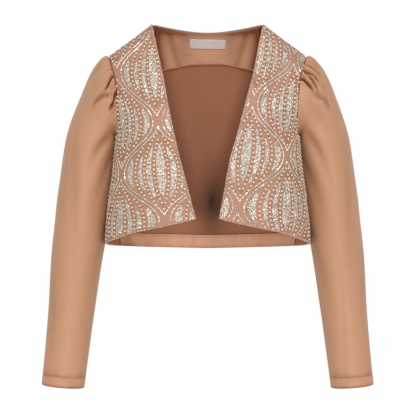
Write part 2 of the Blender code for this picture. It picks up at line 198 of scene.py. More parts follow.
# Gathers of the sleeve heads: the rings each crosses and the degrees round where it does
GATHER_COLUMNS = "rings turns depth width"
GATHERS = {
    "left": table(
        GATHER_COLUMNS,
        ((0.2, 1.5, 2.6), (20, 21, 18), 3.2, 2.4),
        ((0.2, 0.8, 2.1, 2.9), (36, 38, 37.5, 33.5), 6.6, 1.8),
        ((0.1, 0.7, 2.0, 3.0, 3.6), (45, 46, 45.5, 45, 40), 7.0, 1.8),
        ((0.2, 1.3, 2.6, 3.6), (54, 57, 56.5, 52), 8.6, 2.3),
        ((1.2, 1.9, 3.1, 3.7), (61, 61.5, 63.5, 63.5), 6.4, 1.8),
        ((0.1, 1.3, 2.4, 3.1), (68, 71, 74, 74), 6.8, 2.2),
        ((1.0, 1.9, 3.0, 3.9), (65.5, 66.5, 69.5, 69), -2.6, 2.2),
        ((4.0, 4.6, 5.3, 5.9), (70, 66, 58, 53), 2.8, 6.0),
        ((4.2, 4.8, 5.5, 5.9), (44, 45.5, 50, 52), 2.0, 8.0),
        ((0.2, 1.2, 2.8), (-27, -29, -25), 3.2, 3.0),
        ((0.1, 1.3, 3.3), (-40, -42, -38), 6.2, 3.0),
        ((0.3, 1.6, 4.0), (-53, -55, -51), 7.6, 3.2),
        ((0.2, 1.4, 3.7), (-66, -70, -72), 6.8, 3.0),
        ((0.5, 1.6, 3.0), (-80, -84, -88), 4.3, 3.6),
    ),
    "right": table(
        GATHER_COLUMNS,
        ((0.1, 0.5, 1.3), (22, 24, 25), 1.9, 2.4),
        ((2.4, 3.1, 4.2), (31, 33, 30), 1.9, 6.0),
        ((0.1, 0.7, 1.6), (50, 51.5, 52), 3.0, 2.2),
        ((0.3, 1.1, 1.9, 2.6, 2.9), (64, 67, 73, 77, 78), 7.6, 2.4),
        ((0.0, 1.0, 2.0, 2.7), (81, 85, 86.5, 84), -3.5, 2.6),
        ((0.2, 1.4, 1.9, 2.9), (88, 96.5, 104, 108.5), 7.6, 3.4),
        ((2.6, 3.1, 4.9, 5.4), (88, 85.5, 70.5, 67), 3.5, 5.0),
        ((0.2, 1.4, 3.0), (-30, -32, -29), 3.5, 3.0),
        ((0.1, 1.5, 3.6), (-45, -46, -43), 6.5, 3.0),
        ((0.4, 1.6, 3.9), (-58, -61, -60), 7.0, 3.2),
        ((0.2, 1.3, 3.2), (-73, -78, -82), 5.7, 3.2),
    ),
}

# Soft creases of the body cloth: degrees from the back centre to the wearer's left, and its run
BODY_CREASES = table(
    "turn drop drift width length depth",
    (0, 175, 0.0, 5.0, 70, 2.0),
    (1.1, 250, 0.0, 3.2, 95, -7.0),
    (24, 120, 6.0, 6.0, 90, 1.2),
    (-28, 135, -7.0, 5.0, 80, 1.4),
    (50, 150, 16.0, 6.0, 60, 1.5),
    (-54, 160, -14.0, 6.0, 70, 1.3),
    (16, 265, -3.0, 5.0, 70, 1.0),
    (-11, 250, -3.0, 4.5, 80, 1.1),
    (42, 250, -5.0, 6.0, 90, 1.2),
    (-38, 270, 4.0, 5.0, 60, 0.9),
)

# Soft creases of the sleeves: the angle round the sleeve and the station along it
DRAG_COLUMNS = "angle station drift width length depth"
DRAGS = {
    "left": table(
        DRAG_COLUMNS,
        (14, 5.0, 0.0, 34.0, 2.0, -2.6),
        (112, 7.5, -6.0, 9.0, 2.6, 2.0),
        (140, 9.5, -9.0, 10.0, 2.2, 1.6),
        (55, 12.0, 5.0, 12.0, 2.4, 0.8),
        (150, 14.0, -10.0, 12.0, 1.8, 1.1),
        (30, 15.0, 8.0, 10.0, 1.6, 0.8),
        (100, 17.0, 4.0, 9.0, 1.5, 0.6),
        (-120, 8.0, 8.0, 10.0, 2.5, 2.2),
        (-80, 11.0, -6.0, 11.0, 2.2, 1.2),
        (-145, 13.5, 9.0, 10.0, 2.0, 1.6),
        (-60, 15.5, -5.0, 9.0, 1.8, 1.0),
        (-110, 17.5, 4.0, 8.0, 1.2, 0.7),
    ),
    "right": table(
        DRAG_COLUMNS,
        (118, 7.0, -8.0, 9.0, 2.4, 2.2),
        (138, 9.0, -7.0, 9.0, 2.4, 1.5),
        (70, 11.0, 6.0, 12.0, 2.6, 0.9),
        (155, 13.5, -8.0, 12.0, 1.8, 1.0),
        (40, 16.0, 7.0, 10.0, 1.6, 0.7),
        (-112, 7.5, 9.0, 10.0, 2.6, 2.0),
        (-85, 10.5, -7.0, 10.0, 2.0, 1.3),
        (-150, 14.0, 8.0, 11.0, 2.0, 1.5),
        (-55, 14.5, -6.0, 9.0, 1.9, 0.9),
        (-100, 18.0, 3.0, 8.0, 1.2, 0.6),
    ),
}

# Bead pattern: lattice of ogees, half width of one by the distance from its middle
OGEE = table(
    "along half_width",
    (0, 59.6),
    (6, 58.7),
    (12, 55.9),
    (18, 51.2),
    (23, 46.2),
    (28, 39.2),
    (33, 31.6),
    (38, 25.0),
    (43, 17.9),
    (48, 11.2),
    (54, 5.4),
    (60, 1.1),
    (65, 0.0),
)
OGEE_ACROSS = 67.0
OGEE_ALONG = 69.6

# Where the lattice lies on each front: one ogee's middle, the way to the ogees' meeting places
# beside and below it, and how the second changes with the first
LATTICE_ROWS = table(
    "across drop beside below twist",
    (53.7, 190.1, (64.7, 2.0), (-10.6, 74.6), (8.0, -5.0)),
    (65.2, 213.1, (66.9, 4.2), (-5.6, 69.4), (6.5, 2.1)),
)
LATTICES = dict(zip(SIDES, LATTICE_ROWS))

# Columns of pearls of one ogee, each side of its middle line, and the order of sewing
PEARL_COLUMNS = table(
    "across reach_up reach_down fullness_up fullness_down limit",
    (10.4, 46.5, 50.5, 1.0, 1.0, 60.0),
    (25.3, 54.5, 62.0, 0.92, 1.08, 65.0),
    (39.4, 45.0, 45.0, 0.56, 0.56, 35.0),
)
PLACING_ORDER = (2, 3, 1)
LONE_PEARLS = (-53.5, 53.5)
PEARLS_APART = 0.74
SEEDS_APART = 0.3
PEARL_LIFT = 0.5
SEED_LIFT = 0.7

# Columns of sequins, between two of the lines of an ogee
SEQUIN_COLUMNS = table(
    "inner outer share hug width up down",
    (0, 0, 0.0, 0, 13.2, 37.0, 34.0),
    (1, 2, 0.5, 0, 7.8, 34.0, 38.0),
    (2, 3, 0.45, 0, 6.2, 21.0, 27.0),
    (3, 4, 1.0, 1, 9.6, 19.0, 21.0),
)
SEQUIN_STIR = 0.12
SEQUIN_FULLNESS = 2.1
OUTLINE_STRIP = 5.2
BUGLE_GAP = 0.6
BUGLE_TILT = 0.09
BEAD_MARGIN = 0.35
EDGING = 1.5
EDGING_PITCH = 2.8
EDGING_STIR = 0.8

# Finishes: the painted shade inside the back beside the fronts, and the painted shadow in the
# hollow of its centre fold
FRONTS_REACH = 1.075
FRONTS_SHADE = 0.56
FRONTS_SHADE_WIDTH = 30.0
FRONTS_SHADE_END = 288.0
FRONTS_SHADE_FADE = 25.0
HOLLOW_MIDDLE = (0.0055, 0, -0.256)
HOLLOW_REACH = (0.048, math.inf, 0.125)
HOLLOW_SHADE = (0.08, 0.07, 0.08, 1)
SHEEN_TINT = (1.0, 0.72, 0.52, 1)
# Colour that the cloth is multiplied by at full painted shade in folds, creases and seams
FOLD_SHADE = (0.34, 0.2, 0.13, 1)
WHITE = (1, 1, 1, 1)

CAMERA_PLACE = (0.00058, -0.265)
FILM_WIDTH = 36.0


def eased(share):
    share = np.clip(share, 0, 1)
    return share * share * (3 - 2 * share)


def bell(away):
    return np.exp(-(away**2))


def unit(vectors):
    return vectors / np.maximum(np.linalg.norm(vectors, axis=-1, keepdims=True), 1e-12)


def squared(direction, axis):
    """Directions made square to an axis."""
    return unit(direction - axis * np.sum(axis * direction, -1, keepdims=True))


def closed(grid):
    return np.concatenate([grid, grid[:, :1]], 1)


def run_of(line):
    """Length along a line of points, at each of them."""
    return np.append(0, np.cumsum(np.linalg.norm(np.diff(line, axis=0), axis=-1)))


def smooth(rows, column, at):
    """A named column of a table at places along its first column, with no overshoot."""
    places = np.array([row[0] for row in rows], float)
    values = np.array([getattr(row, column) for row in rows], float)
    at = np.clip(at, places[0], places[-1])
    steps, rises = np.diff(places), np.diff(values)
    slopes = rises / steps
    tangents = np.concatenate([slopes[:1], (slopes[:-1] + slopes[1:]) / 2, slopes[-1:]])
    tangents[1:-1][slopes[:-1] * slopes[1:] <= 0] = 0
    index = np.clip(np.searchsorted(places, at, "right") - 1, 0, len(steps) - 1)
    share = (at - places[index]) / steps[index]
    leaving = share * (1 - share) ** 2 * tangents[index] * steps[index]
    arriving = share * share * (share - 1) * tangents[index + 1] * steps[index]
    return values[index] + eased(share) * rises[index] + leaving + arriving


def plan_power(level):
    nearness = np.maximum(0.0, 1 - np.abs(level))
    return PLAN_POWER + ARMPIT_FULLNESS * np.sin(np.pi / 2 * nearness) ** 2


def rounded(angle, level):
    """Cosine and sine raised to the plan's power."""
    power = 2 / plan_power(level)
    return [np.sign(turn) * np.abs(turn) ** power for turn in (np.cos(angle), np.sin(angle))]


def ridge_height(x):
    x = np.abs(x)
    crown = SHOULDER_SLOPE * RIDGE_CORNER / 2 * (1 - (x / RIDGE_CORNER) ** 2)
    return np.where(x > RIDGE_CORNER, -SHOULDER_SLOPE * (x - RIDGE_CORNER), crown)


def armhole_angle(level):
    """How far round the section the armhole lies at a level, from the side."""
    turn = np.cos(np.pi * np.clip(level, 0, 1))
    share = ARMHOLE_HALF_DEPTH / CHEST_HALF_DEPTH * 2 * np.sqrt((1 - turn) / (3 - turn))
    return np.arcsin(np.minimum(1.0, share ** (plan_power(level) / 2)))


def half_width_above(level, behind):
    ease = BACK_WIDTH_EASE * np.sin(np.pi * level) ** 2 * behind
    width = smooth(ARMHOLE, "half_width", np.degrees(np.pi * level)) + ease
    return width / rounded(armhole_angle(level), level)[0]


def torso_point(side, angle, level):
    """Points of the form: the angle is -90 at the front centre and 90 at the back centre, the
    level -1 at the hem, 0 at the armpit and 1 on the shoulder ridge, and more beyond it."""
    angle, level = np.broadcast_arrays(np.asarray(angle, float), np.asarray(level, float))
    angle, level = np.where(level > 1, -angle, angle), np.where(level > 1, 2 - level, level)
    across, along = rounded(angle, level)
    hem = smooth(HEM, "drop", 90 + np.degrees(angle))
    drop = ARMPIT_DROP - level * (hem - ARMPIT_DROP)
    half_width, half_depth = smooth(TORSO, "half_width", drop), smooth(TORSO, "half_depth", drop)
    low = np.stack([side * half_width * across, half_depth * along, -drop], -1)
    above = np.clip(level, 0, None)
    rise = (1 - np.cos(np.pi * above)) / 2
    half_depth = CHEST_HALF_DEPTH * np.sqrt(np.maximum(0.0, 1 - rise * rise))
    x = half_width_above(above, angle > 0) * across
    z = rise * (ridge_height(x) + ARMPIT_DROP) - ARMPIT_DROP
    high = np.stack([side * x, half_depth * along, z], -1)
    return np.where((level < 0)[..., None], low, high)


def torso_frame(side, angle, level):
    """Unit directions at points of the form: round the body to the back, and outwards."""

    def slope(turn, climb):
        ahead = torso_point(side, angle + turn, level + climb)
        return ahead - torso_point(side, angle - turn, level - climb)

    around = unit(slope(SLOPE_STEP, 0))
    return around, unit(side * np.cross(around, slope(0, SLOPE_STEP)))


def furrow(away, width, ridge_at, ridge_share, power=2.0):
    """A trough across a line in the cloth, with the ridges that it pushes up beside it, at
    degrees away from the line."""
    away = np.abs((away + 180) % 360 - 180)
    ridge = bell((away - ridge_at * width) / width)
    return np.exp(-((away / width) ** power)) - ridge_share * ridge


def on_torso(side, angle, level, depth, shift=0.0):
    """Points at a depth below the outer face of the body cloth, creases included."""
    points = torso_point(side, angle, level)
    around, outwards = torso_frame(side, angle, level)
    turn = side * (90 - np.degrees(angle))
    for crease in BODY_CREASES:
        run = (-points[..., 2] - crease.drop) / crease.length
        away = turn - crease.turn - crease.drift * run
        depth = depth + crease.depth * bell(2 * run) * furrow(away, crease.width, 2, CREASE_RIDGES)
    return points + around * np.asarray(shift)[..., None] - outwards * depth[..., None]


def side_angle(level):
    """Where the back panel starts at a level: the side seam below the armpit, then the armhole."""
    above = armhole_angle(np.where(level > 1, 2 - level, level))
    return np.where(level < 0, math.radians(SIDE_SEAM_SWING) * -level, above)


def back_angle(share, level):
    start = side_angle(level)
    return start + share * (np.pi / 2 - start)


def neck_share():
    """Column of the back that reaches the ridge at the neck point."""
    half_width = half_width_above(1.0, True)
    angle = math.acos((NECK_HALF_WIDTH / half_width) ** (plan_power(1.0) / 2))
    start = armhole_angle(1.0)
    return float((angle - start) / (math.pi / 2 - start))


def between(test, shape, low, high):
    """Places where a test turns from true to false, found by halving."""
    low, high = np.full(shape, low), np.full(shape, high)
    for _ in range(40):
        middle = (low + high) / 2
        below = test(middle)
        low, high = np.where(below, middle, low), np.where(below, high, middle)
    return low


def neckline_level(share):
    def behind(level):
        points = torso_point(1, back_angle(share, level), level)
        reach = np.sqrt(np.maximum(0.0, 1 - (points[..., 0] / NECK_HALF_WIDTH) ** 2))
        return points[..., 1] > NECK_BACK_DEPTH * reach

    return between(behind, share.shape, 0.3, 1.0)


def drop_level(share, drop):
    def lower(level):
        return torso_point(1, back_angle(share, level), level)[..., 2] < -drop

    return between(lower, share.shape, -1.0, 1.0)


def strip_width(share):
    """How far the back comes over the ridge, from the armhole (0) to the neck (1)."""
    return STRIP_AT_ARMHOLE + (STRIP_AT_NECK - STRIP_AT_ARMHOLE) * share


def back_top(share):
    """Level of the back's upper end: the neckline, or the shoulder seam past the ridge."""
    neck = neck_share()
    seam = 1 + strip_width(np.minimum(1, share / neck))
    return np.where(share > neck + 1e-6, neckline_level(share), seam)


def front_top(share):
    return 1 - strip_width(1 - share) - SHOULDER_SEAM_GAP / (SHOULDER_RUN * SEAM_DEPTH_SHARE)


def front_edge_angle(side, level):
    """Angle at which a front's free edge lies at a level."""
    column = "wearers_left" if side > 0 else "wearers_right"
    angle = np.full(np.shape(level), math.radians(-75))
    for _ in range(16):
        points = torso_point(1, angle, level)
        half_width = points[..., 0] / rounded(angle, level)[0]
        edge = smooth(FRONT_EDGE, column, -points[..., 2])
        angle = -np.arccos(np.minimum(1.0, (edge / half_width) ** (plan_power(level) / 2)))
    return angle


def front_ends(side, level):
    """Angles at which a front starts and ends: its free edge, and the side seam or armhole."""
    end = np.where(level < 0, side_angle(level), -armhole_angle(level))
    return front_edge_angle(side, level), end


def front_angle(side, share, level):
    start, end = front_ends(side, level)
    return start + share * (end - start)


# Meshes


def new_object(name, data):
    piece = bpy.data.objects.new(name, data)
    bpy.context.scene.collection.objects.link(piece)
    return piece


def mesh_of(name, points, groups, finishes):
    """A mesh from points in millimetres and groups of (faces, uv or None, finish number)."""
    mesh = bpy.data.meshes.new(name)
    sizes = np.concatenate([np.full(len(faces), faces.shape[1]) for faces, _, _ in groups])
    numbers = np.concatenate([np.full(len(faces), number) for faces, _, number in groups])
    corners = np.concatenate([faces.ravel() for faces, _, _ in groups])

    def fill(items, key, values, kind=np.int32):
        items.foreach_set(key, np.asarray(values).astype(kind).ravel())

    mesh.vertices.add(len(points))
    fill(mesh.vertices, "co", points * MM, np.float32)
    mesh.loops.add(len(corners))
    fill(mesh.loops, "vertex_index", corners)
    mesh.polygons.add(len(sizes))
    fill(mesh.polygons, "loop_start", np.append(0, np.cumsum(sizes)[:-1]))
    fill(mesh.polygons, "loop_total", sizes)
    fill(mesh.polygons, "material_index", numbers)
    if groups[0][1] is not None:
        flat = np.concatenate([chart.reshape(-1, 2) for _, chart, _ in groups])
        fill(mesh.uv_layers.new(name="Cloth").data, "uv", flat, np.float32)
    for finish in finishes:
        mesh.materials.append(bpy.data.materials[finish])
    mesh.update(calc_edges=True)
    mesh.validate()
    mesh.shade_smooth()
    return mesh


def volume_of(points, faces):
    """Six times the signed volume inside quads."""
    a, b, c, d = (points[faces[:, i]] for i in range(4))
    return np.sum(a * np.cross(b, c)) + np.sum(a * np.cross(c, d))


def quads(grid):
    return np.stack([grid[:-1, :-1], grid[:-1, 1:], grid[1:, 1:], grid[1:, :-1]], 2)


def rim_loops(index, round_piece):
    """The boundary of a grid as loops of vertex numbers, and their neighbours further in."""
    if round_piece:
        return [(index[0], index[1]), (index[-1][::-1], index[-2][::-1])]

    def outline(grid):
        return np.concatenate([grid[0, :-1], grid[:-1, -1], grid[-1, :0:-1], grid[:0:-1, 0]])

    return [(outline(index), outline(np.pad(index[1:-1, 1:-1], 1, mode="edge")))]


def cloth_wall(name, outer, inner, finishes, round_piece=False, shade_depths=None):
    """A closed wall between two grids of points with rounded edges, its weave laid out flat.
    How much painted shade each place takes in its finish may be given, from 0 to 1, for both
    faces together or for each; it is kept in the points' fold attribute."""
    rows, columns = outer.shape[:2]
    count = rows * columns
    index = np.arange(count).reshape(rows, columns)
    wrapped, spread = (closed(index), closed(outer)) if round_piece else (index, outer)
    across = np.cumsum(np.linalg.norm(np.diff(spread, axis=1), axis=-1).mean(0))
    down = np.cumsum(np.linalg.norm(np.diff(spread, axis=0), axis=-1).mean(1))
    flat = np.stack(np.meshgrid(np.append(0, across) * MM, np.append(0, down) * MM), -1)
    outside = quads(wrapped).reshape(-1, 4)
    chart = quads(flat).reshape(-1, 4, 2)
    points = np.concatenate([outer.reshape(-1, 3), inner.reshape(-1, 3)])
    thickness = np.linalg.norm(outer[0, 0] - inner[0, 0])
    groups = [(outside, chart, 0), (outside[:, ::-1] + count, chart[:, ::-1], len(finishes) - 1)]
    for edge, next_in in rim_loops(index, round_piece):
        outwards = unit(points[edge] - points[next_in]) * thickness * WALL_EDGE_BULGE
        middle = (points[edge] + points[edge + count]) / 2 + outwards
        numbers = len(points) + np.arange(len(edge))
        points = np.concatenate([points, middle])
        ahead, mid_ahead = np.roll(edge, -1), np.roll(numbers, -1)
        corner = np.repeat(flat[np.divmod(edge, columns)][:, None], 4, 1)
        groups.append((np.stack([ahead, edge, numbers, mid_ahead], 1), corner, 0))
        faces = np.stack([mid_ahead, numbers, edge + count, ahead + count], 1)
        groups.append((faces, corner, 0))
    if volume_of(points, np.concatenate([faces for faces, _, _ in groups])) < 0:
        groups = [(faces[:, ::-1], chart[:, ::-1], number) for faces, chart, number in groups]
    mesh = mesh_of(name, points, groups, finishes)
    if shade_depths is not None:
        depths = np.zeros(len(points), np.float32)
        depths[: 2 * count] = np.broadcast_to(np.clip(shade_depths, 0, 1), (2, rows, columns)).ravel()
        mesh.attributes.new("fold", "FLOAT", "POINT").data.foreach_set("value", depths)
    return new_object(name, mesh)


def flat_area(grid):
    """Area in square metres of one face of a grid of points."""
    a, b, c, d = np.moveaxis(quads(grid), 2, 0)
    halves = (np.cross(b - a, c - a), np.cross(c - a, d - a))
    return sum(np.linalg.norm(half, axis=-1).sum() for half in halves) / 2 * MM * MM


def declare(piece, node, flat, area):
    """Rides a cloth piece on the jacket and hides its CAD node."""
    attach(piece, "root")
    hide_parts(node)
    width, length = flat
    area = min(max(area, 0.3 * width * length), width * length)


def ride_trim(piece):
    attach(piece, "root")


# Finishes


def feed(tree, node, inputs):
    """Sets a node's inputs, and links those whose value is another node's output."""
    for key, value in inputs.items():
        if isinstance(value, NodeSocket):
            tree.links.new(value, node.inputs[key])
        else:
            node.inputs[key].default_value = value


def add_node(tree, kind, output, inputs=None, **settings):
    """The output of a fresh node."""
    made = tree.nodes.new("ShaderNode" + kind)
    for key, value in settings.items():
        setattr(made, key, value)
    feed(tree, made, inputs or {})
    return made.outputs[output]


def new_finish(name, roughness=0.5, metallic=0.0, coat=0.0, sheen=0.0):
    """The nodes of a fresh material and its shader."""
    finish = bpy.data.materials.new(name)
    finish.use_nodes = True
    tree = finish.node_tree
    settings = {
        "Roughness": roughness,
        "Metallic": metallic,
        "Coat Weight": coat,
        "Coat Roughness": 0.15,
        "Sheen Weight": sheen,
        "Sheen Roughness": 0.4,
        "Sheen Tint": SHEEN_TINT,
    }
    shader = tree.nodes["Principled BSDF"]
    feed(tree, shader, settings)
    return tree, shader


def places_of(tree):
    """Places in the object and on the flat cloth, for a pattern to follow."""
    outputs = add_node(tree, "TexCoord", "Object").node.outputs
    return outputs["Object"], outputs["UV"]


def cloud(tree, source, scale, stretch=(1, 1, 1), detail=3.0):
    """A noise pattern in a chosen coordinate, stretched by a factor each way."""
    place = add_node(tree, "Mapping", "Vector", {"Scale": stretch, "Vector": source})
    return add_node(tree, "TexNoise", "Fac", {"Scale": scale, "Detail": detail, "Vector": place})


def blend(tree, factor, first, last, start=0.3, end=0.7):
    """A colour between two, by a factor."""
    output = add_node(tree, "ValToRGB", "Color", {"Fac": factor})
    stops = output.node.color_ramp.elements
    stops[0].position, stops[1].position = start, end
    stops[0].color, stops[1].color = first, last
    return output


def toned(tree, factor, colour, dark, light):
    """A colour between a darker and a lighter tone of itself."""
    tones = ((*(min(1.0, c * tone) for c in colour), 1.0) for tone in (dark, light))
    return blend(tree, factor, *tones)


def multiply(tree, first, second):
    inputs = {"Factor": 1.0, "A": first, "B": second}
    return add_node(tree, "Mix", "Result", inputs, data_type="RGBA", blend_type="MULTIPLY")


def bump(tree, height, strength, distance):
    inputs = {"Strength": strength, "Distance": distance, "Height": height}
    return add_node(tree, "Bump", "Normal", inputs)


def spread(tree, factor, low, high):
    return add_node(tree, "MapRange", "Result", {"Value": factor, "To Min": low, "To Max": high})


def painted_fold_shade(tree, colour):
    """A colour darkened by painted shade, as much as the cloth's points carry in their fold
    attribute.
    """
    fold = add_node(tree, "Attribute", "Fac", attribute_name="fold")
    return multiply(tree, colour, blend(tree, fold, WHITE, FOLD_SHADE, 0, 1))


def satin_finish(name, colour, roughness, sheen=0.15):
    """Satin: clouds of tone, fine threads down the cloth and a soft gloss."""
    tree, shader = new_finish(name, roughness, sheen=sheen)
    body, chart = places_of(tree)
    tone = toned(tree, cloud(tree, body, 9.0, (1.6, 1.6, 0.6)), colour, 0.95, 1.05)
    fibres = cloud(tree, chart, 420.0, (1, 0.12, 1), 2.0)
    threads = blend(tree, fibres, (0.94, 0.93, 0.92, 1), WHITE)
    gloss = cloud(tree, chart, 60.0, (1, 0.4, 1))
    turned = {"Scale": (1, 0.5, 1), "Rotation": (0, 0, 0.35), "Vector": chart}
    place = add_node(tree, "Mapping", "Vector", turned)
    waves = {"Scale": 900.0, "Distortion": 1.2, "Detail": 2.0, "Vector": place}
    inputs = {
        "Base Color": painted_fold_shade(tree, multiply(tree, tone, threads)),
        "Roughness": spread(tree, gloss, roughness - 0.05, roughness + 0.06),
        "Normal": bump(tree, add_node(tree, "TexWave", "Fac", waves), 0.12, 0.0001),
    }
    feed(tree, shader, inputs)


def crepe_finish(name, colour, roughness=0.8, hollow=False):
    """The matt wrong side of the satin, with a dry crinkle, and painted shade where its points
    lie in folds. It may carry a painted shadow over the centre fold of the back.
    """
    tree, shader = new_finish(name, roughness, sheen=0.05)
    body, chart = places_of(tree)
    tone = toned(tree, cloud(tree, body, 14.0, (1, 1, 0.8)), colour, 0.92, 1.08)
    grain = blend(tree, cloud(tree, chart, 900.0), (0.86, 0.84, 0.82, 1), WHITE)
    shaded = painted_fold_shade(tree, multiply(tree, tone, grain))
    # A painted shadow, darkest in the middle of the centre fold of the back and fading outwards
    if hollow:
        scale = [1 / reach for reach in HOLLOW_REACH]
        shift = [-m * s for m, s in zip(HOLLOW_MIDDLE, scale)]
        inputs = {"Scale": scale, "Location": shift, "Vector": body}
        place = add_node(tree, "Mapping", "Vector", inputs)
        ball = {"gradient_type": "QUADRATIC_SPHERE"}
        depth = add_node(tree, "TexGradient", "Fac", {"Vector": place}, **ball)
        shaded = multiply(tree, shaded, blend(tree, depth, WHITE, HOLLOW_SHADE, 0, 1))
    normal = bump(tree, cloud(tree, chart, 700.0), 0.25, 0.0002)
    feed(tree, shader, {"Base Color": shaded, "Normal": normal})


def net_finish(name, colour):
    """The ground of the beaded fronts: a fine crepe with a net of cross threads."""
    tree, shader = new_finish(name, 0.62, sheen=0.1)
    body, chart = places_of(tree)
    tone = toned(tree, cloud(tree, body, 30.0), colour, 0.88, 1.1)
    net = cloud(tree, chart, 520.0, detail=2.0)
    netted = multiply(tree, tone, blend(tree, net, (0.68, 0.62, 0.58, 1), WHITE))
    feed(tree, shader, {"Base Color": netted, "Normal": bump(tree, net, 0.4, 0.0002)})


def metal_finish(name, colour, roughness, metallic, spots):
    """Silvered glass or foil: bright, with a change of tone from place to place."""
    tree, shader = new_finish(name, roughness, metallic=metallic)
    body, _ = places_of(tree)
    tone = toned(tree, cloud(tree, body, spots), colour, 0.66, 1.2)
    gloss = spread(tree, cloud(tree, body, 400.0), roughness, roughness + 0.15)
    feed(tree, shader, {"Base Color": tone, "Roughness": gloss})


def pearl_finish(name, colour):
    """Glass beads under a clear coat."""
    tree, shader = new_finish(name, 0.3, coat=0.6)
    body, _ = places_of(tree)
    tone = toned(tree, cloud(tree, body, 160.0), colour, 0.86, 1.08)
    feed(tree, shader, {"Base Color": tone})


def thread_finish(name, colour):
    """Sewing thread with its twist."""
    tree, shader = new_finish(name, 0.6, sheen=0.2)
    body, _ = places_of(tree)
    ply = cloud(tree, body, 2500.0)
    tone = toned(tree, ply, colour, 0.75, 1.1)
    feed(tree, shader, {"Base Color": tone, "Normal": bump(tree, ply, 0.3, 0.0001)})


# Beadwork


class Lace:
    """The flat cloth of one front, by the distance from the centre line and the height, and
    the lattice of ogees on it."""

    def __init__(self, name):
        self.side, self.lattice = SIDES[name], LATTICES[name]
        self.levels = np.linspace(-1.03, 1.0, 260)
        self.angles = np.radians(np.linspace(-90, 34, 230))
        grid = torso_point(1, self.angles[None, :], self.levels[:, None])
        steps = np.linalg.norm(np.diff(grid[..., :2], axis=1), axis=-1)
        self.across = np.concatenate([np.zeros((len(grid), 1)), np.cumsum(steps, 1)], 1)
        self.down = -grid[..., 2]
        self.centres = [(i, j) for i in range(-1, 4) for j in range(-4, 5) if (i + j) % 2 == 0]

    def sample(self, values, row, column):
        """A value at places of the grid, and how it changes by row and by column."""
        r = np.clip(row.astype(int), 0, len(self.levels) - 2)
        c = np.clip(column.astype(int), 0, len(self.angles) - 2)
        s, t = row - r, column - c
        low = values[r, c] * (1 - t) + values[r, c + 1] * t
        high = values[r + 1, c] * (1 - t) + values[r + 1, c + 1] * t
        left = values[r, c + 1] - values[r, c]
        right = values[r + 1, c + 1] - values[r + 1, c]
        return low * (1 - s) + high * s, high - low, left * (1 - s) + right * s

    def locate(self, across, down):
        """Angle and level of places on the flat cloth, and whether they are on the form."""
        last_row, last_column = len(self.levels) - 1, len(self.angles) - 1
        row = np.full(across.shape, last_row * 0.45)
        column = np.full(across.shape, last_column * 0.5)
        for _ in range(30):
            u, u_row, u_column = self.sample(self.across, row, column)
            v, v_row, v_column = self.sample(self.down, row, column)
            error_u, error_v = across - u, down - v
            area = u_row * v_column - u_column * v_row
            area = np.where(np.abs(area) < 1e-9, 1e-9, area)
            step_row = (error_u * v_column - u_column * error_v) / area
            step_column = (u_row * error_v - error_u * v_row) / area
            row = np.clip(row + np.clip(step_row, -25, 25), 0, last_row)
            column = np.clip(column + np.clip(step_column, -25, 25), 0, last_column)
        error_u = self.sample(self.across, row, column)[0] - across
        error_v = self.sample(self.down, row, column)[0] - down
        level = np.interp(row, np.arange(len(self.levels)), self.levels)
        angle = np.interp(column, np.arange(len(self.angles)), self.angles)
        return angle, level, (np.abs(error_u) < 0.3) & (np.abs(error_v) < 0.3)

    def across_at(self, angle, level):
        row = np.interp(level, self.levels, np.arange(len(self.levels)))
        column = np.interp(angle, self.angles, np.arange(len(self.angles)))
        return self.sample(self.across, row, column)[0]

    def room(self, angle, level):
        """Distance to the nearest edge of the beadwork, negative outside it."""
        across = self.across_at(angle, level)
        start, end = front_ends(self.side, level)
        share = np.clip((angle - start) / (end - start), 0, 1)
        opening = across - self.across_at(start, level) - EDGING
        sides = np.minimum(opening, self.across_at(end, level) - across)
        hem = smooth(HEM, "drop", 90 + np.degrees(angle)) - EDGING
        low = hem + torso_point(1, angle, level)[..., 2]
        return np.minimum(np.minimum(sides, low), (front_top(share) - level) * SHOULDER_RUN)

    def surface(self, angle, level, height):
        """Places above the front's outer face, with the cloth's directions there."""
        points = on_torso(self.side, angle, level, -np.asarray(height))
        around, outwards = torso_frame(self.side, angle, level)
        up = np.cross(outwards, around)
        return points, around, np.where(up[..., 2:] < 0, -up, up), outwards

    def lay(self, centre, across, along):
        """Flat places, angle, level and room of places of one ogee. Its middle is given in
        steps from the first one's, beside and below."""
        beside = centre[0] + np.asarray(across) / OGEE_ACROSS
        below = centre[1] + np.asarray(along) / OGEE_ALONG
        lattice = self.lattice
        flat = (
            np.array([lattice.across, lattice.drop])
            + np.outer(beside, lattice.beside)
            + np.outer(below, lattice.below)
            + np.outer(beside * below, lattice.twist)
        )
        angle, level, found = self.locate(flat[:, 0], flat[:, 1])
        room = np.where(found & (flat[:, 0] > 0), self.room(angle, level), -99.0)
        return flat, angle, level, room


def ogee_width(along):
    return smooth(OGEE, "half_width", np.abs(along))


def column_line(number, along):
    """Distance of a line of beads from an ogee's middle line: 0 is the middle line itself,
    1 to 3 are the columns of pearls, and 4 is the bare strip inside the outline."""
    if number == 0:
        return 0.0 * along
    if number > len(PEARL_COLUMNS):
        return ogee_width(along) - OUTLINE_STRIP
    column = PEARL_COLUMNS[number - 1]
    reach = np.where(along < 0, column.reach_up, column.reach_down)
    fullness = np.where(along < 0, column.fullness_up, column.fullness_down)
    return column.across * np.maximum(0, 1 - (along / reach) ** 2) ** fullness


def spaced(across, along, step):
    """Places a step apart along a line of the flat cloth."""
    run = run_of(np.stack([across, along], 1))
    stops = np.arange(step / 2, run[-1], step)
    return np.interp(stops, run, across), np.interp(stops, run, along)


def clear(place, taken, apart):
    """Whether a place keeps its distance from those taken. If it does, it is taken too."""
    if taken and np.min(np.hypot(*(np.array(taken) - place).T)) < apart:
        return False
    taken.append(place)
    return True


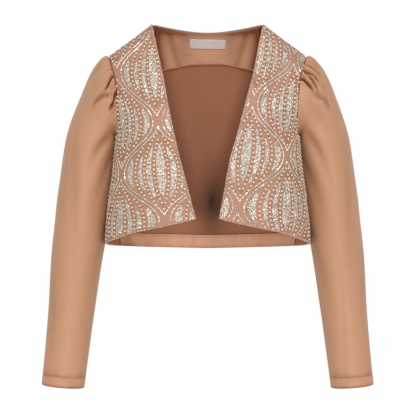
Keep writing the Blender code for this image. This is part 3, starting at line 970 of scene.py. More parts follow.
def pearl_places(lace, spacing):
    """Angle and level of the pearls of a front, and of the seed beads between them."""

    def kept(centre, place, taken, apart):
        flat, angle, level, room = lace.lay(centre, *place)
        keep = [k for k in np.flatnonzero(room > BEAD_MARGIN) if clear(flat[k], taken, apart)]
        return np.stack([angle[keep], level[keep]])

    lines = []
    for number in PLACING_ORDER:
        column = PEARL_COLUMNS[number - 1]
        up, down = min(column.reach_up, column.limit), min(column.reach_down, column.limit)
        along = np.linspace(-up, down, 240)
        lines += [(sign * column_line(number, along), along) for sign in (1, -1)]
    strings = [spaced(*line, spacing) for line in lines]
    strings.insert(2, (np.zeros(len(LONE_PEARLS)), np.array(LONE_PEARLS)))
    fine_strings = [spaced(*line, spacing / 3) for line in lines]
    pearls, seeds = [], []
    for centre in lace.centres:
        taken = []
        pearls += [kept(centre, place, taken, spacing * PEARLS_APART) for place in strings]
        seeds += [kept(centre, place, taken, spacing * SEEDS_APART) for place in fine_strings]
    return np.concatenate(pearls, 1), np.concatenate(seeds, 1)


def sequin_places(lace, pitch, chance):
    """Angle and level of every sequin inside the ogees of a front, in close rows."""
    across, along = [], []
    for column in SEQUIN_COLUMNS:
        middle = (column.down - column.up) / 2
        half = (column.down + column.up) / 2
        for row, stop in enumerate(np.arange(-column.up, column.down, pitch)):
            share = abs(stop - middle) / half
            width = column.width * math.sqrt(max(0.0, 1 - share**SEQUIN_FULLNESS))
            count = max(1, round(width / pitch))
            offset = (np.arange(count) - (count - 1) / 2) * width / count
            offset = offset + (pitch / 5 if row % 2 else -pitch / 5) * (count > 1)
            inner, outer = (column_line(number, stop) for number in (column.inner, column.outer))
            line = inner + column.share * (outer - inner) - column.hug * width / 2
            for sign in (1, -1) if column.outer else (1,):
                across.append(sign * line + offset)
                along.append(np.full(count, stop))
    across, along = np.concatenate(across), np.concatenate(along)
    laid = []
    for centre in lace.centres:
        stir = chance.normal(0, SEQUIN_STIR * pitch, (2, len(across)))
        _, angle, level, room = lace.lay(centre, across + stir[0], along + stir[1])
        laid.append(np.stack([angle, level])[:, room > BEAD_MARGIN])
    return np.concatenate(laid, 1)


def edging_places(lace, chance):
    """Angle and level of the small beads along the opening and the hem of a front."""
    levels = np.linspace(front_top(0.0), -1, 300)
    opening = front_edge_angle(lace.side, levels)
    hem = np.linspace(opening[-1], side_angle(levels[-1]), 300)[1:]
    angles = np.concatenate([opening, hem])
    levels = np.concatenate([levels, np.full(len(hem), -1.0)])
    run = run_of(torso_point(1, angles, levels))
    stops = np.arange(1.0, run[-1] - 1.0, EDGING_PITCH)
    stops = stops + chance.normal(0, EDGING_STIR, len(stops))
    return np.stack([np.interp(stops, run, angles), np.interp(stops, run, levels)])


def outline_places(lace, step, width, chance):
    """Places of the bugle beads that run end to end round every ogee."""
    middles, aheads, normals = [], [], []
    reach = OGEE[-1].along - 0.5
    along = np.linspace(-reach, reach, 400)
    half_width = np.maximum(ogee_width(along), width * 0.55)
    for centre in lace.centres:
        for sign in (1, -1):
            across, down = spaced(sign * half_width, along, step / 2)
            _, angle, level, room = lace.lay(centre, across, down)
            points, _, _, outwards = lace.surface(angle, level, width * 0.45)
            ends = np.arange(0, len(points) - 2, 2)
            ends = ends[(room[ends] > BEAD_MARGIN) & (room[ends + 2] > BEAD_MARGIN)]
            middles.append(points[ends + 1])
            aheads.append(points[ends + 2] - points[ends])
            normals.append(outwards[ends + 1])
    x, z = unit(np.concatenate(aheads)), np.concatenate(normals)
    x = unit(x + z * chance.normal(0, BUGLE_TILT, len(x))[:, None])
    z = squared(z, x)
    y = np.cross(z, x)
    roll = chance.uniform(0, math.pi, len(x))[:, None]
    y, z = y * np.cos(roll) + z * np.sin(roll), z * np.cos(roll) - y * np.sin(roll)
    return np.concatenate(middles), x, y, z, np.ones(len(x))


@contextmanager
def edit_mode():
    bpy.ops.object.mode_set(mode="EDIT")
    yield
    bpy.ops.object.mode_set(mode="OBJECT")


def pattern_of(piece):
    """Points and faces, grouped by their number of corners, of a modelled pattern piece. The
    faces are sorted, because a sphere gives them in another order in every run."""
    mesh = piece.data
    points = np.array([vertex.co for vertex in mesh.vertices])
    faces = {}
    for polygon in mesh.polygons:
        faces.setdefault(len(polygon.vertices), []).append(list(polygon.vertices))
    bpy.data.objects.remove(piece)
    return points, [np.array(sorted(group)) for _, group in sorted(faces.items())]


def model_pearl():
    """A round bead of unit radius, flattened where it lies on the cloth."""
    bpy.ops.mesh.primitive_uv_sphere_add(segments=10, ring_count=6, radius=1.0)
    pearl = bpy.context.object
    for vertex in pearl.data.vertices:
        vertex.select = vertex.co.z < -0.6
    with edit_mode():
        bpy.ops.mesh.select_mode(type="VERT")
        bpy.ops.transform.translate(value=(0, 0, 0.18))
        bpy.ops.mesh.select_all(action="SELECT")
        bpy.ops.transform.resize(value=(1, 1, 0.7))
    return pattern_of(pearl)


def model_seed_bead():
    """A small ring-shaped bead of unit radius round Z."""
    bpy.ops.mesh.primitive_torus_add(
        major_segments=7, minor_segments=4, major_radius=0.6, minor_radius=0.4
    )
    with edit_mode():
        bpy.ops.mesh.select_all(action="SELECT")
        bpy.ops.transform.resize(value=(1, 1, 1.6))
    return pattern_of(bpy.context.object)


def inset_end(piece, direction, thickness, move):
    """Insets the flat end of a piece that faces a direction and moves it along."""
    with edit_mode():
        bpy.ops.mesh.select_mode(type="FACE")
        bpy.ops.mesh.select_all(action="DESELECT")
    for polygon in piece.data.polygons:
        polygon.select = polygon.normal.dot(Vector(direction)) > 0.9
    with edit_mode():
        bpy.ops.mesh.inset(thickness=thickness)
        bpy.ops.transform.translate(value=tuple(c * move for c in direction))


def model_sequin():
    """A dished disc of unit radius."""
    bpy.ops.mesh.primitive_cylinder_add(vertices=6, radius=1.0, depth=0.3)
    sequin = bpy.context.object
    inset_end(sequin, (0, 0, 1), 0.45, -0.14)
    return pattern_of(sequin)


def lying_rod(radius, length):
    """A six-sided rod along X."""
    bpy.ops.mesh.primitive_cylinder_add(
        vertices=6, radius=radius, depth=length, rotation=(0, math.pi / 2, 0)
    )
    bpy.ops.object.transform_apply(location=False, rotation=True, scale=False)
    return bpy.context.object


def model_bugle(length, width):
    """A glass tube along X with eased ends."""
    bugle = lying_rod(width / 2, length * 0.9)
    for sign in (1, -1):
        inset_end(bugle, (sign, 0, 0), width * 0.14, length * 0.05)
    return pattern_of(bugle)


def model_stitch():
    """A short run of thread that dips at both ends, along X and of unit length."""
    stitch = lying_rod(0.14, 1.0)
    with edit_mode():
        bpy.ops.mesh.select_all(action="SELECT")
        bpy.ops.mesh.subdivide(number_cuts=1)
    for vertex in stitch.data.vertices:
        vertex.select = abs(vertex.co.x) > 0.4
    with edit_mode():
        bpy.ops.transform.translate(value=(0, 0, -0.16))
    return pattern_of(stitch)


def copies(name, pattern, places, finish, flat_faces=False):
    """One mesh of many copies of a pattern. Places are (points, x, y, z directions, sizes)."""
    points, faces = pattern
    centres, *axes, sizes = places
    turned = sum(points[None, :, k, None] * axis[:, None] for k, axis in enumerate(axes))
    everything = centres[:, None] + turned * sizes[:, None, None]
    offsets = (np.arange(len(centres)) * len(points))[:, None, None]
    groups = [((face[None] + offsets).reshape(-1, face.shape[1]), None, 0) for face in faces]
    mesh = mesh_of(name, everything.reshape(-1, 3), groups, [finish])
    if flat_faces:
        mesh.shade_flat()
    ride_trim(new_object(name, mesh))


def stitch_row(name, line, outwards, length, gap, thread="satin_thread"):
    """A row of stitches along a line of points."""
    run = run_of(line)
    stops = np.arange(length, run[-1] - length / 2, length + gap)

    def along(values, places):
        return np.stack([np.interp(places, run, values[:, k]) for k in range(3)], 1)

    x = unit(along(line, stops + length / 2) - along(line, stops - length / 2))
    z = squared(along(outwards, stops), x)
    middles = along(line, stops) + z * 0.15
    places = (middles, x, np.cross(z, x), z, np.full(len(stops), length))
    copies(name, model_stitch(), places, thread)


def turned_about(x, y, z, chance, lean, stray):
    """Directions leaned over along y and then tilted a little at random."""
    count = len(z)
    tilt_x = chance.normal(lean, stray, count)[:, None]
    tilt_y = chance.normal(0, stray, count)[:, None]
    up = unit(z + np.tan(tilt_x) * y + np.tan(tilt_y) * x)
    spin = chance.uniform(0, math.pi, count)[:, None]
    flat_x = squared(x, up)
    new_x = flat_x * np.cos(spin) + np.cross(up, flat_x) * np.sin(spin)
    return new_x, np.cross(up, new_x), up


def cord(name, slot, line, outwards, width, pitch, finish, sides=12):
    """A two-ply twisted cord along a line of points."""
    turns = np.arange(sides) / sides * 2 * np.pi
    ahead = unit(np.gradient(line, axis=0))
    beside = unit(np.cross(ahead, outwards))
    above = np.cross(beside, ahead)
    twist = run_of(line) / pitch * 2 * np.pi
    radius = width / 2 * (0.78 + 0.22 * np.cos(2 * (turns[None] - twist[:, None])))
    points = (
        line[:, None]
        + beside[:, None] * (np.cos(turns) * radius)[..., None]
        + above[:, None] * (np.sin(turns) * radius)[..., None]
    ).reshape(-1, 3)
    index = np.arange(len(points)).reshape(len(line), sides)
    sheath = quads(closed(index)).reshape(-1, 4)[:, [0, 3, 2, 1]]
    ends = np.array([index[0], index[-1][::-1]])
    if volume_of(points, sheath) < 0:
        sheath, ends = sheath[:, ::-1], ends[:, ::-1]
    mesh = mesh_of(name, points, [(sheath, None, 0), (ends, None, 0)], [finish])
    piece = new_object(name, mesh)
    ride_trim(piece)
    return piece


# Panels


def back_rows(top, full_top, low_rows, high_rows):
    """Levels from the hem to a column's top, drawn together under the neckline."""
    low = np.linspace(-1, 0, low_rows + 1)[:-1]
    knee = np.minimum(full_top, ROWS_LEVEL_SHARE * top)
    squeeze = np.where(top < full_top, (top - knee) / np.maximum(full_top - knee, 1e-9), 1.0)
    high = np.linspace(0, 1, high_rows + 1)[:, None] * full_top
    high = np.where(high < knee, high, knee + (high - knee) * squeeze)
    return np.concatenate([np.repeat(low[:, None], len(top), 1), high])


def half_shares(shoulder, across):
    """Columns of half of the back, closest where the neckline turns."""
    neck = neck_share()
    steps = (np.arange(1, across + 1) / across) ** 1.5
    return np.concatenate([np.linspace(0, neck, shoulder), neck + (1 - neck) * steps])


def mirrored(half, axis=1):
    """A grid of one half as the whole width, from the wearer's right to the left."""
    return np.concatenate([np.delete(half(-1), -1, axis), np.flip(half(1), axis)], axis)


def behind_fronts(side, angle, level):
    """Depth of shade inside the back, beside and behind the fronts' edges."""
    rows = np.linspace(1, -1, 80)
    edge = torso_point(1, front_edge_angle(side, rows), rows)
    back = torso_point(1, angle, level)
    reach = np.interp(-back[..., 2], -edge[:, 2], edge[:, 0]) * FRONTS_REACH
    lifted = eased((FRONTS_SHADE_END + back[..., 2]) / FRONTS_SHADE_FADE)
    return FRONTS_SHADE * lifted * eased((back[..., 0] - reach) / FRONTS_SHADE_WIDTH + 1)


def armhole_line(side, turns):
    """Points and outward normals round an armhole, from the shoulder down the front."""
    front = turns <= np.pi
    back_end = 1 + STRIP_AT_ARMHOLE
    behind = (turns / np.pi - 1) * back_end
    level = np.where(front, (1 - turns / np.pi) * front_top(1.0), behind)
    level = np.where(turns == 0, back_end, level)
    angle = side_angle(level) * np.where(front & (turns > 0), -1, 1)
    return torso_point(side, angle, level), torso_frame(side, angle, level)[1]


def sleeve_turns(count):
    return np.arange(count) / count * 2 * np.pi


def ring_grid(side, rows, stations, turns):
    """Points round the rings at stations along a table, by a smooth curve through its rows.
    The turns start at a ring's outer end and go round by the front."""
    rows = np.array(rows, float)
    last = len(rows) - 1
    index = np.clip(stations.astype(int), 0, last - 1)
    t = (stations - index)[:, None]
    start, end = rows[index], rows[index + 1]
    before, after = rows[np.maximum(index - 1, 0)], rows[np.minimum(index + 2, last)]
    before = np.where((index == 0)[:, None], 2 * start - end, before)
    after = np.where((index == last - 1)[:, None], 2 * end - start, after)
    rings = 0.5 * (
        2 * start
        + (end - before) * t
        + (2 * before - 5 * start + 4 * end - after) * t**2
        + (3 * start - before - 3 * end + after) * t**3
    )
    outer = np.stack([rings[:, 0], rings[:, 4], -rings[:, 1]], 1)[:, None]
    inner = np.stack([rings[:, 2], rings[:, 4], -rings[:, 3]], 1)[:, None]
    across, along = np.cos(turns)[None, :, None], np.sin(turns)[None, :, None]
    forward = rings[:, None, 5:6] * np.array([0, -1, 0])
    grid = (outer + inner) / 2 + (outer - inner) / 2 * across + forward * along
    return grid * np.array([side, 1, 1])


def grid_normals(grid):
    around = np.roll(grid, -1, axis=1) - np.roll(grid, 1, axis=1)
    normals = unit(np.cross(around, np.gradient(grid, axis=0)))
    centres = grid.mean(axis=1, keepdims=True)
    return normals if np.sum(normals * (grid - centres)) > 0 else -normals


def gather_depth(fold, station, degrees):
    """How far one gather lies below the sleeve head, ridges below zero."""
    start, end = fold.rings[0], fold.rings[-1]
    strength = eased((station - start) / 0.5 + 0.5) * eased((end + 0.9 - station) / 1.8)
    away = degrees - np.interp(station, fold.rings, fold.turns)
    return fold.depth * strength * furrow(away, fold.width, 1.9, GATHER_RIDGES, 1.7)


def drag_depth(drag, station, degrees):
    away = degrees - (drag.angle + drag.drift * (station - drag.station))
    fade = bell((station - drag.station) / drag.length)
    return drag.depth * fade * furrow(away, drag.width, 2, DRAG_RIDGES)


def sleeve_grid(name, stations, turns):
    """Outer points of a sleeve with its gathers and creases, the armhole's normals, and how
    much painted shade each point takes: in its folds, along the armhole seam and above the cuff."""
    side = SIDES[name]
    seam_points, normals = armhole_line(side, turns)
    tangents = np.roll(seam_points, -1, axis=0) - np.roll(seam_points, 1, axis=0)
    away = unit(np.cross(tangents, normals))
    if away[int(np.argmin(seam_points[:, 2]))][2] < 0:
        away = -away
    first = ring_grid(side, SLEEVE, np.zeros(1), turns)[0]
    offset = seam_points + away * SEAM_GAP - first
    head = (1 - eased(stations / HEAD_RINGS))[:, None, None]
    grid = ring_grid(side, SLEEVE, stations, turns) + offset * head
    station, left_over = stations[:, None], stations[-1] - stations[:, None]
    degrees = np.degrees(turns)
    sunk = sum(gather_depth(fold, station, degrees) for fold in GATHERS[name])
    sunk = sunk * np.minimum(1.0, station / SEAM_HOLD) + SEAM_SINK * bell(station / SEAM_HOLD)
    drags = sum(drag_depth(drag, station, degrees) for drag in DRAGS[name])
    sunk = (sunk + drags * np.minimum(1.0, station)) * np.minimum(1.0, left_over / 0.6)
    # Painted shade along the armhole seam and in a band above the cuff, and painted shade in the
    # folds by their depth
    pinched = 0.6 + 0.25 * np.sin(31 * turns + side) + 0.15 * np.sin(73 * turns)
    low = 0.16 + 0.1 * np.sin(3 * turns + side) + 0.06 * np.sin(11 * turns)
    shade_depths = low * bell(left_over / 0.3) + 0.2 * np.exp(-left_over / 0.05)
    shade_depths = shade_depths + sunk / FOLD_DEEP + SEAM_SHADE * pinched * bell(station / 0.3)
    centres = grid.mean(axis=1, keepdims=True)
    return grid - unit(grid - centres) * sunk[..., None], normals, shade_depths


def facing_ripple(side, across, drop):
    """Soft slanting ripples of the facing, away from the back."""
    place = side * across
    waves = 0.5 + 0.5 * np.sin(place / 8.5 + 0.6) * np.sin(place / 19.0 - 1.1)
    slant = 0.5 + 0.5 * np.sin((place + 0.8 * drop) / 13.0)
    fine = 0.25 * bell((np.abs(across) - 30) / 4.0) * (1 + np.sin(drop / 1.6))
    return 0.5 * waves + 1.5 * slant * (1 - np.exp(-((across / 34.0) ** 4))) + fine


def facing_shade(points):
    """Depth of shade of the facing: between its slanting folds and beside the fronts."""
    across, drop = np.abs(points[..., 0]), -points[..., 2]
    label = bell((across - 31.0) / 3.0) * (0.5 + 0.5 * np.sin(drop / 1.3 + across))
    return (
        0.4 * bell((across - 50.0 + 0.28 * (drop - 30.0)) / 5.5)
        + 0.1 * bell((drop - 30.0 + 0.5 * (across - 45.0)) / 9.0)
        + bell((80.0 - 0.2 * drop - across) / 8.0)
        + 0.2 * label * bell((drop - 20.0) / 7.0)
        + 0.22 * bell((across - 36.0) / 9.0)
        + 0.3 * np.exp(-((drop - 13) / 5.0))
    )


def band_shade(points):
    """Depth of shade of the hem band: drawn in small slanting wrinkles, dark at its ends."""
    across = points[..., 0]
    rise = np.linspace(0, 1, len(points))[:, None]
    chance = np.random.default_rng(43)
    shade = 0.3 * bell(rise / 0.16) + 0.25 * bell((rise - 0.86) / 0.07)
    for place in np.arange(-125, 126, 14):
        middle = place + chance.uniform(-6, 6) + chance.uniform(-14, 14) * (rise - 0.5)
        shade = shade + chance.uniform(0.02, 0.13) * bell((across - middle) / 4.5)
    left_end = eased((across - 125.0 - 9.0 * rise) / 4.0)
    return shade + 0.45 * (left_end + eased((-across - 104.0 - 9.0 * rise) / 8.0))


def on_facing(side, share, level, depth):
    """Points at a depth below the back's outer face, ripples included."""
    angle = back_angle(share, level)
    points = torso_point(1, angle, level)
    ripple = facing_ripple(side, points[..., 0], -points[..., 2])
    return on_torso(side, angle, level, depth + ripple)


def colour_of(name, what, default):
    description = f"Colour of {what}"
    return FloatVectorProperty(
        name=name, description=description, subtype="COLOR", default=default
    )


def millimetres(name, description, default, low, high):
    description = f"{description} in millimetres"
    return FloatProperty(name=name, description=description, default=default, min=low, max=high)


def metres(name, description, default):
    return FloatProperty(name=name, description=description, default=default, unit="LENGTH")


class JacketCloth(PropertyGroup):
    """Colours of the cloths."""

    satin: colour_of("Satin", "the right side of the satin", (0.56, 0.288, 0.16))
    wrong_side: colour_of("Wrong side", "the matt wrong side of the satin", (0.47, 0.198, 0.1))
    # The facing's colour is a lighter copy of the satin: painted light on the facing inside the
    # back
    facing: colour_of("Facing", "the satin of the neck facing", (0.72, 0.37, 0.205))
    ground: colour_of("Ground", "the cloth under the beads", (0.55, 0.295, 0.2))
    # The hem band's colour is a lighter copy of the satin: painted light on the turned-up hem
    hem_band: colour_of("Hem band", "the satin of the turned-up hem", (0.82, 0.43, 0.255))
    binding: colour_of("Binding", "the bound edge of the facing", (0.6, 0.22, 0.08))
    label: colour_of("Label", "the woven label", (0.76, 0.7, 0.66))


class JacketBeads(PropertyGroup):
    """Sizes and colours of the beadwork."""

    pearl_diameter: millimetres("Pearl diameter", "Diameter of a pearl", 3.5, 2.0, 5.0)
    pearl_spacing: millimetres(
        "Pearl spacing", "Distance between the pearls of a column", 6.05, 4.0, 12.0
    )
    seed_diameter: millimetres(
        "Seed bead diameter", "Diameter of the small beads between the pearls", 1.7, 1.0, 3.0
    )
    sequin_diameter: millimetres("Sequin diameter", "Diameter of a sequin", 2.2, 1.5, 6.0)
    sequin_pitch: millimetres("Sequin pitch", "Distance between sequins", 1.6, 1.2, 6.0)
    bugle_length: millimetres("Bugle length", "Length of a bugle bead", 4.8, 2.0, 9.0)
    bugle_width: millimetres("Bugle width", "Width of a bugle bead", 1.9, 1.0, 4.0)
    pearl: colour_of("Pearl", "the pearls", (0.86, 0.66, 0.48))
    seed_bead: colour_of("Seed bead", "the small beads between the pearls", (0.46, 0.27, 0.14))
    edging_bead: colour_of(
        "Edging bead", "the beads along the edges of the fronts", (0.62, 0.46, 0.32)
    )
    sequin: colour_of("Sequin", "the sequins", (0.76, 0.67, 0.575))
    bugle: colour_of("Bugle", "the silver bugle beads", (0.88, 0.8, 0.71))
    seed: IntProperty(
        name="Seed",
        description="Number that the small differences between the beads come from",
        default=7,
    )


class JacketStage(PropertyGroup):
    """Camera, light and floor."""

    camera_distance: metres(
        "Camera distance", "Distance of the camera from the jacket's middle", 2.51
    )
    view_width: metres("View width", "Width of the view at the jacket's middle", 0.6032)
    dome: FloatProperty(
        name="Dome light", description="Strength of the light from all round", default=0.7
    )
    key: FloatProperty(
        name="Key light",
        description="Power of the lamp above and in front, in watts",
        default=16.0,
    )
    fill: FloatProperty(
        name="Front light",
        description="Power of the wide lamp behind the camera, in watts",
        default=60.0,
    )
    floor_drop: metres("Floor drop", "Height of the shoulders above the floor", 1.15)


class JACKET_OT_cloth_finishes(Operator):
    """Make the finishes of cloth, thread, pearls and sequins"""

    bl_idname = "jacket.cloth_finishes"
    bl_label = "Finishes"

    def execute(self, context):
        cloth, beads = context.scene.jacket_cloth, context.scene.jacket_beads
        satin_finish("satin", cloth.satin, 0.46, sheen=0.35)
        # A lighter copy of the satin: painted light on the facing
        satin_finish("facing_satin", cloth.facing, 0.36, sheen=0.1)
        # A lighter copy of the satin: painted light on the hem band
        satin_finish("lit_hem_satin", cloth.hem_band, 0.4)
        satin_finish("binding", cloth.binding, 0.5)
        # A darker copy of the satin for the turned edges: painted shade where they face up and
        # away
        satin_finish("shaded_edge_satin", [c * 0.6 for c in cloth.satin], 0.6, sheen=0.0)
        crepe_finish("satin_wrong_side", cloth.wrong_side, hollow=True)
        crepe_finish("beaded_wrong_side", cloth.wrong_side, 0.85)
        crepe_finish("woven_label", cloth.label, 0.6)
        net_finish("beaded_ground", cloth.ground)
        thread_finish("label_thread", (0.7, 0.62, 0.55))
        thread_finish("satin_thread", [c * 0.85 for c in cloth.satin])
        metal_finish("sequin_foil", beads.sequin, 0.18, 0.65, 420.0)
        metal_finish("silver_bugle", beads.bugle, 0.22, 0.6, 260.0)
        for name in ("pearl", "seed_bead", "edging_bead"):
            pearl_finish(name, getattr(beads, name))
        return {"FINISHED"}


class JACKET_OT_back_panel(Operator):
    """Sew the back panel from the hem over the shoulders to the front seam"""

    bl_idname = "jacket.back_panel"
    bl_label = "Back panel"

    def execute(self, context):
        shares = half_shares(34, 42)
        full_top = back_top(np.minimum(shares, neck_share()))
        levels = back_rows(back_top(shares), full_top, 46, 66)
        angle = back_angle(shares, levels)
        shift = np.where((shares == 0) & (levels <= 0), SEAM_GAP / 2, 0.0)
        outer, inner = (
            mirrored(lambda side: on_torso(side, angle, levels, depth, shift))
            for depth in (0.0, SATIN_WALL)
        )
        shade = mirrored(lambda side: behind_fronts(side, angle, levels))
        shade_depths = np.stack([0 * shade, shade])
        finishes = ["satin", "satin_wrong_side"]
        panel = cloth_wall("back_panel", outer, inner, finishes, shade_depths=shade_depths)
        declare(panel, "back", (0.36, 0.37), flat_area(outer))
        return {"FINISHED"}


class JACKET_OT_front_panels(Operator):
    """Sew the two fronts that carry the beadwork"""

    bl_idname = "jacket.front_panels"
    bl_label = "Front panels"

    def execute(self, context):
        shares = np.linspace(0, 1, 64)
        tops = front_top(shares)
        low = np.linspace(-1, 0, 54)[:-1, None] + 0 * tops
        levels = np.concatenate([low, np.linspace(0, 1, 70)[:, None] * tops])
        shift = np.where((shares == 1) & (levels <= 0), -SEAM_GAP / 2, 0.0)
        for name, side in SIDES.items():
            angle = front_angle(side, shares, levels)
            outer = on_torso(side, angle, levels, 0.0, shift)
            inner = on_torso(side, angle, levels, BEADED_WALL, shift)
            finishes = ["beaded_ground", "beaded_wrong_side"]
            panel = cloth_wall(f"front_panel_{name}", outer, inner, finishes)
            declare(panel, f"front_{name}", (0.16, 0.34), flat_area(outer))
        return {"FINISHED"}


class JACKET_OT_outline_beads(Operator):
    """Sew the silver bugle beads round the ogees"""

    bl_idname = "jacket.outline_beads"
    bl_label = "Outline beads"

    def execute(self, context):
        beads = context.scene.jacket_beads
        pattern = model_bugle(beads.bugle_length, beads.bugle_width)
        for name, side in SIDES.items():
            chance = np.random.default_rng(beads.seed + 20 + side)
            step = beads.bugle_length + BUGLE_GAP
            places = outline_places(Lace(name), step, beads.bugle_width, chance)
            copies(f"bugles_{name}", pattern, places, "silver_bugle", True)
        return {"FINISHED"}


class JACKET_OT_pearls(Operator):
    """Sew on the pearls and the seed beads between them"""

    bl_idname = "jacket.pearls"
    bl_label = "Pearls"

    def execute(self, context):
        beads = context.scene.jacket_beads
        pearl, seed_bead = model_pearl(), model_seed_bead()
        for name, side in SIDES.items():
            lace, slot = Lace(name), f"front_{name}"
            chance = np.random.default_rng(beads.seed + side)
            pearls, seeds = pearl_places(lace, beads.pearl_spacing)
            sizes = beads.pearl_diameter / 2 * chance.uniform(0.93, 1.04, len(pearls[0]))
            places = (*lace.surface(*pearls, sizes * PEARL_LIFT), sizes)
            copies(f"pearls_{name}", pearl, places, "pearl")
            sizes = beads.seed_diameter / 2 * chance.uniform(0.85, 1.1, len(seeds[0]))
            points, x, y, z = lace.surface(*seeds, sizes * SEED_LIFT)
            places = (points, z, x, y, sizes)
            copies(f"seed_beads_{name}", seed_bead, places, "seed_bead")
            edging = edging_places(lace, chance)
            sizes = beads.seed_diameter * chance.uniform(0.32, 0.85, len(edging[0]))
            height = sizes * chance.uniform(-0.4, 0.6, len(sizes))
            places = (*lace.surface(*edging, height), sizes)
            copies(f"edging_{name}", pearl, places, "edging_bead")
        return {"FINISHED"}


class JACKET_OT_sequins(Operator):
    """Sew on the sequins"""

    bl_idname = "jacket.sequins"
    bl_label = "Sequins"

    def execute(self, context):
        beads = context.scene.jacket_beads
        pattern = model_sequin()
        for name, side in SIDES.items():
            lace = Lace(name)
            chance = np.random.default_rng(beads.seed + 10 + side)
            angle, level = sequin_places(lace, beads.sequin_pitch, chance)
            sizes = beads.sequin_diameter / 2 * chance.uniform(0.92, 1.05, len(angle))
            height = 0.45 + 0.2 * chance.random(len(angle))
            points, *axes = lace.surface(angle, level, height)
            places = (points, *turned_about(*axes, chance, 0.05, 0.3), sizes)
            copies(f"sequins_{name}", pattern, places, "sequin_foil", True)
        return {"FINISHED"}


class JACKET_OT_sleeves(Operator):
    """Sew the two sleeves with their gathered heads"""

    bl_idname = "jacket.sleeves"
    bl_label = "Sleeves"

    def execute(self, context):
        head = np.linspace(0, HEAD_RINGS, 57)
        arm = np.linspace(HEAD_RINGS, len(SLEEVE) - 1, 67)[1:]
        stations = np.concatenate([head, arm])
        near = np.clip(1 - stations, 0, 1)[:, None, None]
        for name in SIDES:
            outer, seam_normals, shade_depths = sleeve_grid(name, stations, sleeve_turns(320))
            normals = unit(grid_normals(outer) * (1 - near) + seam_normals * near)
            inner = outer - normals * SATIN_WALL
            finishes = ["satin", "satin_wrong_side"]
            sleeve = cloth_wall(f"sleeve_shell_{name}", outer, inner, finishes, True, shade_depths)
            declare(sleeve, f"sleeve_{name}", (0.36, 0.52), flat_area(closed(outer)))
        return {"FINISHED"}


class JACKET_OT_cuffs(Operator):
    """Sew the narrow cuffs"""

    bl_idname = "jacket.cuffs"
    bl_label = "Cuffs"

    def execute(self, context):
        turns, stations = sleeve_turns(180), np.linspace(0, len(CUFF) - 1, 13)
        share = (stations / stations[-1])[:, None]
        fade = np.cos(np.pi / 2 * share) * np.minimum(1, stations * 4)[:, None]
        # Painted shadow on the front of the cuff, and painted shade along its lower edge and at
        # its seam
        painted_cuff_shadow = 0.16 * bell((np.degrees(turns) - 97.0 - 20.0 * share) / 9.0)
        shade_depths = painted_cuff_shadow + 0.6 * bell((1 - share) / 0.13) + 0.4 * np.exp(-share / 0.06)
        for name, side in SIDES.items():
            chance = np.random.default_rng(31 + side)
            ripple = sum(
                chance.uniform(0.08, 0.2) * np.sin(k * turns + chance.uniform(0, 6))
                for k in (5, 9, 14, 23)
            )
            outer = ring_grid(side, CUFF, stations, turns)
            normals = grid_normals(outer)
            outer = outer + normals * (ripple * fade)[..., None]
            inner = outer - normals * CUFF_WALL
            finishes = ["satin", "satin_wrong_side"]
            cuff = cloth_wall(f"cuff_band_{name}", outer, inner, finishes, True, shade_depths)
            area, sleeve = flat_area(closed(outer)), f"sleeve_shell_{name}"
            declare(cuff, f"cuff_{name}", (0.16, 0.02), area)
        return {"FINISHED"}


class JACKET_OT_neck_edge(Operator):
    """Turn the satin over the neck's edge and the shoulder seams"""

    bl_idname = "jacket.neck_edge"
    bl_label = "Neck edge"

    def execute(self, context):
        neck = neck_share()
        shares = neck + (1 - neck) * np.linspace(0.03, 1, 70)
        level = back_top(shares)
        angle = back_angle(shares, level)
        line = mirrored(lambda side: on_torso(side, angle, level, SATIN_WALL * 0.6), 0)
        outwards = mirrored(lambda side: torso_frame(side, angle, level)[1], 0)
        cord("neck_edge", "back", line, outwards, NECK_ROLL, ROLL_PITCH, "shaded_edge_satin")
        shares = np.linspace(0.02, 0.98, 50)
        level = front_top(shares)
        for name, side in SIDES.items():
            angle = front_angle(side, shares, level)
            line = on_torso(side, angle, level, SHOULDER_ROLL * 0.1)
            outwards = torso_frame(side, angle, level)[1]
            name = f"shoulder_edge_{name}"
            cord(name, "back", line, outwards, SHOULDER_ROLL, ROLL_PITCH, "shaded_edge_satin")
        return {"FINISHED"}


class JACKET_OT_neck_facing(Operator):
    """Sew the neck facing and bind its lower edge"""

    bl_idname = "jacket.neck_facing"
    bl_label = "Neck facing"

    def execute(self, context):
        neck = neck_share()
        shoulder = np.linspace(FACING_END, neck, 16)
        shares = np.concatenate([shoulder, neck + (1 - neck) * np.linspace(0.06, 1, 70)])
        top = np.minimum(back_top(shares), 1.0)
        points = torso_point(1, back_angle(shares, top), top)
        low = drop_level(shares, smooth(FACING_EDGE, "drop", points[..., 0]))
        inset = -points[..., 2] + FACING_EDGE_INSET
        high = drop_level(shares, np.where(shares <= neck, FACING_SHOULDER_DROP, inset))
        levels = low + (high - low) * np.linspace(0, 1, 26)[:, None]
        start = SATIN_WALL + FACING_GAP
        outer, middle, inner = (
            mirrored(lambda side: on_facing(side, shares, levels, depth))
            for depth in (start, start + FACING_WALL / 2, start + FACING_WALL)
        )
        finishes = ["satin_wrong_side", "facing_satin"]
        facing = cloth_wall("facing_shell", outer, inner, finishes, shade_depths=facing_shade(inner))
        out = unit(inner - outer)
        stitch_row("facing_stitches", inner[2], out[2], 1.8, 1.4)
        shape = (BINDING_WIDTH, BINDING_PITCH, "binding", 10)
        binding = cord("facing_binding", "neck_facing", middle[0], -out[0], *shape)
        area = flat_area(outer)
        declare(facing, "neck_facing", (0.34, 0.08), area)
        return {"FINISHED"}


